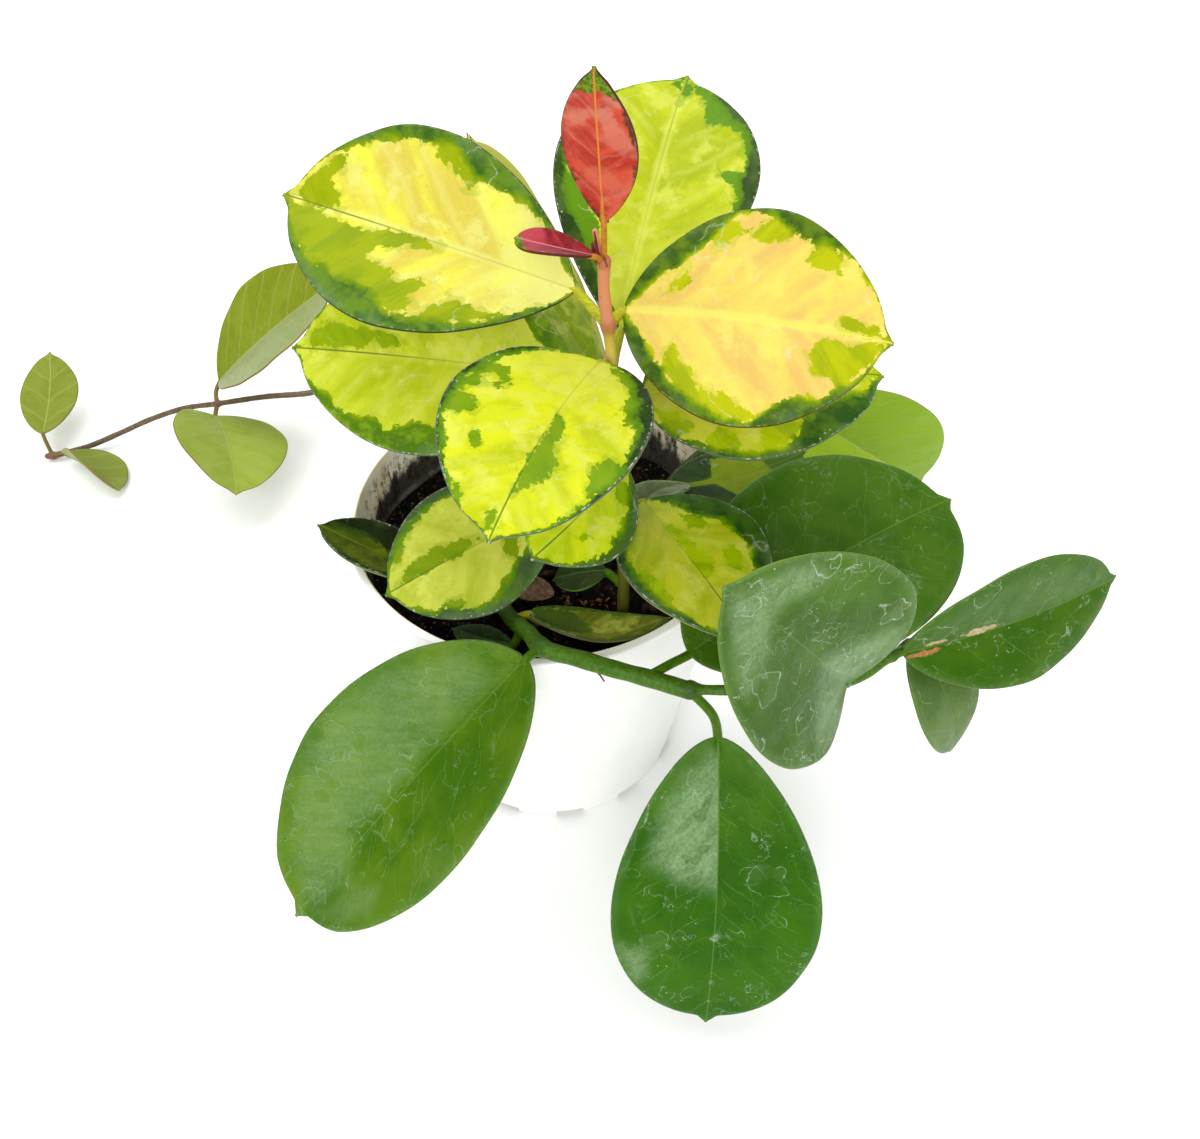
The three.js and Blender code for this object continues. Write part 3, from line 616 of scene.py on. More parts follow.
# ---- materials -------------------------------------------------------------------------------------
def tone(colour, paint=PAINT):
    """A colour 0xRRGGBB as the light it gives back, toned down so that the lights bring it up to itself."""
    shares = np.array([colour >> 16, colour >> 8 & 255, colour & 255]) / 255
    linear = np.where(shares <= 0.04045, shares / 12.92, ((shares + 0.055) / 1.055) ** 2.4)
    return (*(paint * linear).tolist(), 1.0)


class Wire:
    """A node's output, to reckon with as with a number. first | second is the greater of the two."""

    def __init__(self, shader, socket):
        self.shader = shader
        self.socket = socket

    def __add__(self, other):
        return self.shader.math("ADD", self, other)

    def __sub__(self, other):
        return self.shader.math("SUBTRACT", self, other)

    def __rsub__(self, other):
        return self.shader.math("SUBTRACT", other, self)

    def __mul__(self, other):
        return self.shader.math("MULTIPLY", self, other)

    def __or__(self, other):
        return self.shader.math("MAXIMUM", self, other)

    def __abs__(self):
        return self.shader.math("ABSOLUTE", self)


class Shader:
    """One node material, with short calls for the nodes that every finish here is made of."""

    def __init__(self, name, roughness, specular, tint=PAINT):
        self.material = bpy.data.materials.new(name)
        self.material.use_nodes = True
        self.tree = self.material.node_tree
        self.surface = self.tree.nodes["Principled BSDF"].inputs
        self.surface["Roughness"].default_value = roughness
        self.surface["Specular IOR Level"].default_value = specular
        self.tint = tint

    def put(self, socket, value):
        if isinstance(value, Wire):
            self.tree.links.new(value.socket, socket)
        elif value is not None:
            socket.default_value = value

    def node(self, kind, inputs=(), output=0, **settings):
        """An output of a new node, whose inputs are given in order or as a dict."""
        made = self.tree.nodes.new("ShaderNode" + kind)
        for name, value in settings.items():
            setattr(made, name, value)
        for key, value in (inputs if isinstance(inputs, dict) else dict(enumerate(inputs))).items():
            self.put(made.inputs[key], value)
        return Wire(self, made.outputs[output])

    def math(self, operation, *values):
        return self.node("Math", values, operation=operation)

    def step(self, value, low, high, start=0.0, end=1.0):
        """start below low, end above high, and a soft step between them. low may be the higher one."""
        if low > high:
            low, high, start, end = high, low, end, start
        return self.node("MapRange", (value, low, high, start, end), interpolation_type="SMOOTHSTEP")

    def mix(self, share, first, second):
        """Two colours, each a wire, a number 0xRRGGBB or what tone() gives."""
        first, second = (tone(c, self.tint) if isinstance(c, int) else c for c in (first, second))
        return self.node("Mix", {0: share, 6: first, 7: second}, 2, data_type="RGBA")

    def paint(self, share, colour):
        """Lays a share of a colour over what is there."""
        self.colour = self.mix(share, self.colour, colour)

    def field(self, name, part="Fac"):
        return self.node("Attribute", output=part, attribute_name=name)

    def split(self, vector):
        parts = self.node("SeparateXYZ", (vector,)).socket.node.outputs
        return [Wire(self, part) for part in parts]

    def vector(self, x, y, z=0.0):
        return self.node("CombineXYZ", (x, y, z))

    def noise(self, scale, detail=2.0, rough=0.5, at=None):
        return self.node("TexNoise", {"Vector": at or self.at, "Scale": scale, "Detail": detail,
                                      "Roughness": rough})

    def cloud(self, low, high, *noise, start=0.0, end=1.0, at=None):
        """Soft spots: noise, stepped between low and high."""
        return self.step(self.noise(*noise, at=at), low, high, start, end)

    def cells(self, scale, at=None):
        """Distance to the nearest cell's point, and that cell's own random number."""
        distance = self.node("TexVoronoi", {"Vector": at or self.at, "Scale": scale})
        return distance, self.split(Wire(self, distance.socket.node.outputs[1]))[0]

    def walls(self, scale, width, at):
        """1 on the walls between cells."""
        distance = self.node("TexVoronoi", {"Vector": at, "Scale": scale}, feature="DISTANCE_TO_EDGE")
        return self.step(distance, width, 0.0)

    def finish(self, roughness=None, height=None, strength=0.3, reach=0.1):
        self.put(self.surface["Base Color"], self.colour)
        self.put(self.surface["Roughness"], roughness)
        if height is not None:
            relief = {"Strength": strength, "Distance": reach * MM, "Height": height}
            self.put(self.surface["Normal"], self.node("Bump", relief))
        return self.material


class BodyShader(Shader):
    """The shader of anything but a leaf, with the place on the object in millimetres."""

    def __init__(self, name, roughness, specular=0.2, tint=PAINT):
        super().__init__(name, roughness, specular, tint)
        metres = self.node("TexCoord", output="Object")
        self.at = self.node("VectorMath", {0: metres, 3: 1 / MM}, operation="SCALE")
        self.x, self.y, self.z = self.split(self.at)

    def drawn_out(self, share):
        """The place, with its height counted at a share only, for streaks that run up and down."""
        return self.vector(self.x, self.y, self.z * share)


class LeafShader(Shader):
    """A leaf's shader, with its place along and across the blade, its veins and its edge at hand."""

    def __init__(self, name, look, seed, roughness, gloss=LEAF_GLOSS):
        super().__init__(name, roughness, specular=0.2)
        self.surface["Specular Tint"].default_value = gloss
        self.look = look
        self.seed = seed
        self.x, self.y, self.top = self.split(self.field("leaf", "Vector"))
        self.off = abs(self.y)
        self.share = self.math("DIVIDE", self.x, look["length"])
        self.rim = self.field("rim")
        self.stalk = self.field("stalk")
        self.upper = self.step(self.top, 0.5, 0.8)
        self.at = self.vector(self.x, self.y, seed)
        self.forward = self.x - self.off * VEIN_SLANT
        self.along_veins = self.vector(self.forward, self.y * 0.45, seed)
        wander = (self.noise(0.07) - 0.5) * 7.0
        phase = self.math("PINGPONG", self.forward + wander + VEIN_SPACING, VEIN_SPACING / 2)
        self.vein_gap = VEIN_SPACING / 2 - phase
        self.crease = self.step(self.off, 0.32, 0.1) * self.step(self.rim, 0.1, 1.0)

    def wavy(self, scale, size, detail=3.0, at=None):
        """Noise between about -size and size."""
        return (self.noise(scale, detail, 0.6, at) - 0.5) * (2.4 * size)

    def side_veins(self, width=0.5):
        """1 on the side veins, thinning out towards the edge and broken here and there."""
        inner = self.step(self.rim, 2.0, 9.0)
        return self.step(self.vein_gap, width, 0.0) * self.cloud(0.38, 0.6, 0.12) * inner

    def net(self):
        """1 on a fine net of veins."""
        return self.walls(0.3, 0.07, self.along_veins)

    def torn(self, distance, lobes=2.4, teeth=1.1):
        """A signed distance with the lobed and finely torn outline that zones of colour have."""
        blocks = (self.cells(0.75)[1] - 0.5) * (teeth * 0.7)
        return distance + self.wavy(0.22, lobes, 4.0) + self.wavy(0.7, teeth, 2.0, self.along_veins) + blocks

    def specks(self, scale=0.16, size=0.045, above=0.66):
        """A few small pale dots."""
        distance, random = self.cells(scale)
        return self.step(distance, size, size * 0.4) * self.step(random, above, above + 0.02)

    def loops(self, scale, width=0.32, above=0.35):
        """1 on the thin, broken and beaded outlines that dried drops leave, and 1 inside those outlines."""
        bent = self.vector(self.x + self.wavy(0.09, 7.0, 2.0),
                           self.y + self.wavy(0.12, 5.0, 2.0, self.along_veins), self.seed)
        distance, random = self.cells(scale, bent)
        inside = random * 0.36 + 0.1 - distance
        shown = self.step(random, above, above + 0.02)
        broken = self.cloud(0.4, 0.56, 0.2, 3.0, start=0.1)
        beads = self.cloud(0.42, 0.62, 1.4, start=0.35)
        line = self.step(abs(inside), width * scale, 0.0)
        return line * shown * broken * beads, self.step(inside, 0.0, 0.02) * shown

    def skin(self, size=0.9):
        """The fine unevenness of the leaf's skin."""
        return self.noise(size, 3.0) + self.noise(size * 5) * 0.25

    def close(self, roughness, height, strength=0.35, reach=0.25, rim_width=0.2):
        """The rim, the underside and the stalk, then the finished material."""
        look = self.look
        # a pale line just inside the rim, partly the edge's own pallor and partly a painted highlight
        light = self.step(self.rim, 0.6, 0.3) * self.cloud(0.5, 0.66, 0.8, 3.0)
        self.paint(light * look["rim_share"], look["rim_pale"])
        self.paint(self.step(self.rim, rim_width * 1.5, rim_width * 0.7), look["rim"])
        under = self.step(self.top, 0.5, 0.35) * self.step(self.stalk, 0.5, 0.2)
        self.paint(under * look["under_share"], look["under"])
        streaks = self.noise(1.5, at=self.vector(self.x * 0.3, self.y, self.seed))
        shade = tone(look["stalk"], 0.7 * PAINT)
        self.paint(self.stalk, self.mix(self.step(streaks, 0.35, 0.7), look["stalk"], shade))
        return self.finish(roughness, height, strength, reach)


def patch_greens(s, look, margin):
    """The greens of patches and margin: darker near the margin, with a painted sheen towards the rim."""
    blotches = s.wavy(0.16, 3.2, 4.0)
    mottled = s.cloud(0.42, 0.62, 0.16, 4.0, 0.6, at=s.along_veins)
    green = s.mix(mottled, look["patch"], s.mix(0.4, look["patch"], look["mid"]))
    green = s.mix(s.step(margin + blotches, -1.8, 0.6), green, look["mid"])
    deep = s.mix(s.cloud(0.4, 0.62, 0.19, 4.0, 0.6), look["dark"], look["dark_two"])
    into_dark = margin + blotches + s.wavy(0.8, 0.9, 3.0, s.along_veins)
    green = s.mix(s.step(into_dark, *look["soft"]), green, deep)
    # painted sheen: a paler grey-green laid over the dark margin near the rim, where its turned-down edges
    # catch the light
    sheen = s.step(s.rim, 4.5, 0.5) * s.cloud(0.46, 0.64, 0.11, 3.0) * s.step(margin, -0.5, 1.5)
    return s.mix(sheen * look["bloom"], green, look["bloom_tone"])


def variegated_finish(name, look, seed):
    """Yellow to lime ground, torn green patches and a dark margin that they run softly into."""
    s = LeafShader(name, look, seed, roughness=0.4)
    clouds = s.cloud(0.4, 0.64, 0.09, 3.0, 0.55, at=s.along_veins)
    s.colour = s.mix(clouds, look["ground"], look["ground_two"])
    s.paint(s.cloud(0.5, 0.6, 0.2, 4.0, 0.62, end=0.4), look["ground_two"])
    rays = s.step(s.vein_gap, 2.6, 0.0) * s.step(s.off, 0.5, 6.0)
    s.paint((rays * 0.55 | s.cloud(0.5, 0.64, 0.13, 4.0, 0.6)) * 0.55, look["vein"])
    band = s.step(s.off + s.wavy(0.3, 0.6), 1.9, 0.4) * look["band"]
    # a painted highlight, in the vein tone, over the blade near its base
    paler = s.step(s.share + s.wavy(0.09, 0.12), 0.42, 0.05) * look["base_pale"]
    s.paint(band | paler, look["vein"])
    stains = s.cloud(0.56, 0.66, 0.8, 3.0, 0.6) * s.cloud(0.5, 0.62, 0.08)
    s.paint(stains * 0.3, s.mix(0.5, look["ground_two"], look["patch"]))
    s.paint(s.net() * 0.1, look["vein"])

    margin, patches = s.field("dark"), s.field("patch")
    s.paint(s.step((patches | margin) + s.wavy(0.25, 4.5, 4.0), -1.0, 0.2) * 0.4, look["patch"])
    green = s.torn(patches) | (s.torn(margin) + 0.7)
    s.paint(s.step(green, -0.16, 0.16), patch_greens(s, look, margin))
    s.paint(s.crease * (s.step(s.share, 0.35, 0.8) * 0.65 + 0.25), look["midrib"])

    loop, _ = s.loops(0.1, above=0.8)
    crust = s.specks(0.6, 0.2, 0.5) * s.step(s.rim, 3.2, 0.6) * look["crust"] * s.cloud(0.42, 0.56, 0.12)
    marks = (s.specks() * 0.8 | loop * 0.4 | crust) * s.upper
    s.paint(marks, SPECK_TONE)
    height = s.skin() + s.side_veins() * -0.5 + marks * 0.5
    return s.close(s.cloud(0.3, 0.7, 0.5, 3.0, start=0.34, end=0.48), height)


def dark_finish(name, look, seed):
    """Deep green and glossy, with creased veins, a painted sheen over part of the blade and along the rim,
    and the outlines that dried drops leave.
    """
    s = LeafShader(name, look, seed, roughness=0.32)
    clouds = s.noise(0.05, 3.0, 0.55) + s.wavy(0.3, 0.05)
    s.colour = s.mix(s.step(clouds, 0.38, 0.64), look["deep"], look["light"])
    grain = s.noise(1.1, 3.0, 0.65)
    s.paint(s.step(grain, 0.45, 0.75) * 0.2, look["light"])
    veins = s.side_veins(0.3) * s.step(grain, 0.38, 0.5, 0.2, 1.0)
    s.paint(veins * look["vein_share"], look["vein"])

    drops, drops_inside = s.loops(0.075, 0.26, look["drops_from"])
    small, small_inside = s.loops(0.15, 0.2, 0.4 + 0.6 * look["drops_from"])
    # painted sheen over the leaf's patch outlines, on one half only where the look names a side, and a
    # thinner painted sheen along the rim
    bloom = s.step(s.field("patch") + s.wavy(0.12, 2.6, 4.0), -3.0, 5.5) * look["bloom"]
    if look["bloom_side"]:
        bloom *= s.step(s.y * look["bloom_side"], 0.0, 0.25)
    bloom *= s.cloud(0.3, 0.7, 0.35, 4.0, 0.65, start=0.6, end=1.15, at=s.along_veins)
    bloom *= s.step(grain, 0.3, 0.7, 0.72, 1.2) * (1.0 - small_inside * 0.35) * (veins * 0.3 + 1.0)
    bloom |= s.step(s.rim, 3.0, 0.3) * look["edge_bloom"]
    s.paint(bloom * s.upper, look["bloom_tone"])
    bent = s.vector(s.forward + s.wavy(0.16, 3.0), s.y + s.wavy(0.2, 2.5), seed)
    net = s.walls(0.085, 0.022, bent) * s.cloud(0.4, 0.55, 0.09) * s.upper * look["net"]
    s.paint(net, look["bloom_tone"])
    s.paint(s.crease * 0.35, look["vein"])

    dusty = s.cloud(0.46, 0.58, 0.07)
    contour = s.step(abs(s.noise(0.3, 4.0, 0.6) - 0.5), 0.014, 0.003)
    squiggles = contour * dusty * s.cloud(0.56, 0.62, 0.22)
    scars = drops | small * 0.8 | s.specks(0.4, 0.14, 0.72) * dusty | squiggles
    scars *= s.upper * look["rings"]
    film = drops_inside * s.cloud(0.5, 0.6, 0.06) * s.upper * (0.16 * look["rings"])
    s.paint(film, look["bloom_tone"])
    s.paint(scars, look["ring"])
    for share, side, reach, burn in look["burns"]:
        reached = s.vector((s.x - share * look["length"]) * 0.22, s.y - side)
        gap = s.node("VectorMath", (reached,), "Value", operation="LENGTH")
        brown = s.mix(s.step(grain, 0.4, 0.6), burn, tone(burn, 0.7 * PAINT))
        s.paint(s.step(gap + s.wavy(0.4, 1.1, 4.0), reach, reach * 0.7), brown)
    roughness = s.cloud(0.3, 0.7, 0.35, 3.0, start=0.26, end=0.4) + (scars | bloom) * 0.2
    height = s.skin(0.7) + scars * 0.6 + veins * -1.2 + net * 1.2
    return s.close(roughness, height, 0.45, 0.3, 0.15)


def vine_finish(name, look, seed):
    """Olive green, with a pinkish rim and one half in a second tone: paler and greyer on vine_leaf_upper,
    painted shade on leaf_back_green.
    """
    s = LeafShader(name, look, seed, roughness=0.45)
    clouds = s.noise(0.07, 3.0, 0.55) + s.wavy(0.4, 0.05)
    s.colour = s.mix(s.step(clouds, 0.36, 0.64), look["main"], look["main_two"])
    half = s.step(s.y * look["pale_side"], -0.1, 0.3) * s.step(clouds, 0.2, 0.6, 0.6, 1.0)
    s.paint(half * look["pale_share"], look["pale"])
    veins = s.step(s.vein_gap, 1.2, 0.0) * look["vein_share"]
    for share in (veins, s.net() * 0.15, s.crease * 0.7):
        s.paint(share, look["vein"])
    s.paint(s.specks() * 0.5, DULL_SPECK_TONE)
    return s.close(s.cloud(0.3, 0.7, 0.5, 3.0, start=0.38, end=0.52), s.skin(), rim_width=0.25)


def red_finish(name, look, seed):
    """Young leaf: pink-red and mottled, with an orange midrib, a green tip and dark olive edges."""
    s = LeafShader(name, look, seed, roughness=0.38, gloss=RED_GLOSS)
    mottled = s.cloud(0.42, 0.58, 0.16, 4.0, 0.6, at=s.along_veins)
    s.colour = s.mix(mottled, look["deep"], look["main"])
    s.paint(s.step(s.y, -0.2, 0.2, look["second_share"], 0.0), look["second"])
    fine = s.noise(0.9, 4.0, 0.65)
    pink = s.step(s.share, 0.35, 0.8, 0.35, 1.0) * s.cloud(0.47, 0.6, 0.13, 3.0)
    s.paint((pink | s.step(fine, 0.5, 0.7) * 0.2) * 0.6, look["pink"])
    s.paint(s.step(s.vein_gap, 0.9, 0.0) * 0.22, look["pink"])
    grainy = s.step(fine, 0.42, 0.58)
    edge = s.step(s.rim + s.wavy(0.14, 4.0, 4.0) + s.wavy(0.9, 0.6), 1.2, -0.2) * look["edge_share"]
    s.paint(edge, s.mix(grainy, look["edge"], RED_EDGE_BROWN))
    tip = s.share + s.wavy(0.25, 0.14) + s.y * look["tip_slant"]
    s.paint(s.step(tip, look["green_from"], look["green_from"] + 0.05), s.mix(grainy, *RED_TIP_GREENS))
    s.paint(s.crease, look["vein"])
    return s.close(s.step(fine, 0.3, 0.7, 0.32, 0.46), s.skin(1.6), rim_width=0.14)


def stem_finish(name, colours, blushes=()):
    """Green stem with fine streaks. A blush is a colour and the heights between which it comes in."""
    s = BodyShader(name, 0.42)
    main, streak, spot = colours
    streaks = s.noise(0.9, 4.0, 0.6, s.drawn_out(0.12))
    s.colour = s.mix(s.step(streaks, 0.35, 0.65), main, streak)
    for blush, low, high in blushes:
        s.paint(s.step(s.z + (streaks - 0.5) * 6.0, low, high), blush)
    distance, random = s.cells(0.45)
    s.paint(s.step(distance, 0.16, 0.08) * s.step(random, 0.7, 0.75) * 0.5, spot)
    s.paint(s.field("node") * 0.75, spot)
    return s.finish(s.step(streaks, 0.3, 0.7, 0.36, 0.5), s.noise(1.6, 4.0, 0.6), 0.35, 0.2)


def pot_finish():
    """Satin white plastic, faintly swirled, with specks of potting mix and a stained band inside."""
    s = BodyShader("pot_plastic_fine", 0.42, specular=0.4)
    white, swirl, wall, wall_swirl = (tone(colour, POT_PAINT) for colour in POT_WHITES)
    s.colour = s.mix(s.cloud(0.3, 0.7, 0.03, 3.0), white, swirl)
    inside = s.field("inside")
    s.paint(inside, s.mix(s.cloud(0.35, 0.65, 0.11, 3.0), wall, wall_swirl))
    smear = s.noise(0.22, 5.0, 0.65, s.drawn_out(0.35))
    stain = s.step(smear, 0.5, 0.62) * s.step(s.z, *STAIN_HEIGHTS) * inside
    s.paint(stain * 0.85, STAIN_TONE)
    blots = s.cloud(0.56, 0.62, 0.42, 4.0, 0.65) * s.step(s.z, *BLOT_HEIGHTS) * inside
    s.paint(blots * 0.8, BLOT_TONE)
    # the inside wall goes near black low down, and higher up towards the back and where the smear is strong
    low = s.step(s.z - s.y * 0.15 - smear * 22.0, *LOW_WALL_HEIGHTS) * inside
    s.paint(low * 0.95, LOW_WALL_DARK)
    scuffs = s.noise(0.9, 5.0, 0.7, s.drawn_out(0.2))
    s.paint(s.step(scuffs, 0.62, 0.8) * 0.05, SCUFF_TONE)
    roughness = s.step(scuffs, 0.3, 0.7, 0.36, 0.48) + stain * 0.3
    return s.finish(roughness, s.noise(0.7, 4.0, 0.6), 0.12, 0.15)


def soil_finish(name, paint=PAINT):
    """Dark, moist potting mix, near black partly as painted shade, with brown fibres and a few paler grains.
    """
    s = BodyShader(name, 0.85, 0.08, paint)
    dark, brown, fibre, grain = SOIL_AND_SHADE_TONES
    clumps = s.noise(0.35, 5.0, 0.7)
    s.colour = s.mix(s.step(clumps, 0.4, 0.66), dark, brown)
    s.paint(s.step(s.cells(0.6)[1], 0.78, 0.94, 0.0, 0.6), fibre)
    s.paint(s.step(s.cells(1.4)[1], 0.96, 0.98, 0.0, 0.5), grain)
    return s.finish(s.step(clumps, 0.3, 0.7, 0.65, 0.95), s.noise(1.2, 6.0, 0.75), 0.8, 0.8)


def litter_finish(name, colours):
    """Dry plant matter: brown with darker fibres."""
    s = BodyShader(name, 0.75)
    s.colour = s.mix(s.cloud(0.35, 0.65, 0.8, 5.0, 0.7), colours[0], colours[1])
    s.paint(s.step(s.cells(0.5)[1], 0.6, 0.9, 0.0, 0.4), colours[2])
    return s.finish(None, s.noise(1.5, 5.0, 0.7), 0.7, 0.4)


def floor_finish():
    """Plain pale paper."""
    s = BodyShader("floor_paper", 0.7)
    white, grey = ((share * FLOOR_WHITE,) * 3 + (1.0,) for share in (1.0, 0.99))
    s.colour = s.mix(s.cloud(0.3, 0.7, 0.4, 3.0), white, grey)
    return s.finish()


# ---- what each leaf looks like ---------------------------------------------------------------------
# Outlines and margins are pairs t, side in percent: t runs from 0 at the blade's base to 100 at its tip.
# In an outline, side runs from -100 to 100 across. In a margin it is where the dark begins on that half.
YELLOW_LEAF = dict(
    finish="variegated", ground=0xFFFC4E, ground_two=0xECD854, patch=0xAABA00, mid=0x6C9400, dark=0x24501A,
    dark_two=0x46721E, vein=0xFFFF96, midrib=0x788C14, soft=(0.2, 1.5), bloom=0.4, bloom_tone=0x7E9A6C,
    band=0.35, base_pale=0, crust=0.3, rim=0x343A22, rim_pale=0xCDD4BE, rim_share=0.55, stalk=0xD4D632,
    under=0xC4CA50, under_share=0.8,
)
LIME_LEAF = dict(
    YELLOW_LEAF, ground=0xEEF81E, ground_two=0xC8D608, patch=0x86AC00, mid=0x5C8E00, vein=0xF8FC6E,
    midrib=0x60840A, band=0.2, base_pale=0.35, crust=0.85, rim=0x606E5C, rim_pale=0xE4EADA, rim_share=0.9,
)
# On the dark leaves the patch outlines mark where a sheen is painted, not patches of another colour.
DEEP_LEAF = dict(
    finish="dark", deep=0x2C6400, light=0x487A00, vein=0x82A654, vein_share=0.45, ring=0xCDE0C8, rings=0.6,
    bloom=0.45, bloom_side=0, bloom_tone=0x98B884, edge_bloom=0.12, drops_from=0.5, net=0.14, burns=[],
    rim=0x688C32, rim_pale=0xA0BE78, rim_share=0.4, stalk=0x54800C, under=0x7CA054, under_share=0.8,
)
VINE_LEAF = dict(
    finish="vine", main=0x889826, main_two=0x96A83E, pale=0xA5B478, pale_share=0, pale_side=1,
    vein_share=0.25, vein=0xBAC66E, rim=0x966E48, rim_pale=0xCDC882, rim_share=0.5, stalk=0x967846,
    under=0xA5B66E, under_share=0.8,
)
RED_LEAF = dict(
    finish="red", deep=0xCC362A, main=0xEC5A42, second=0xEC5A42, second_share=0, pink=0xF8A48E,
    vein=0xFA963C, edge=0x2E2A1E, edge_share=0.85, green_from=0.84, tip_slant=0, rim=0x5A3228,
    rim_pale=0xECA082, rim_share=0.3, stalk=0xF0A03C, under=0xCD6E76, under_share=0,
)

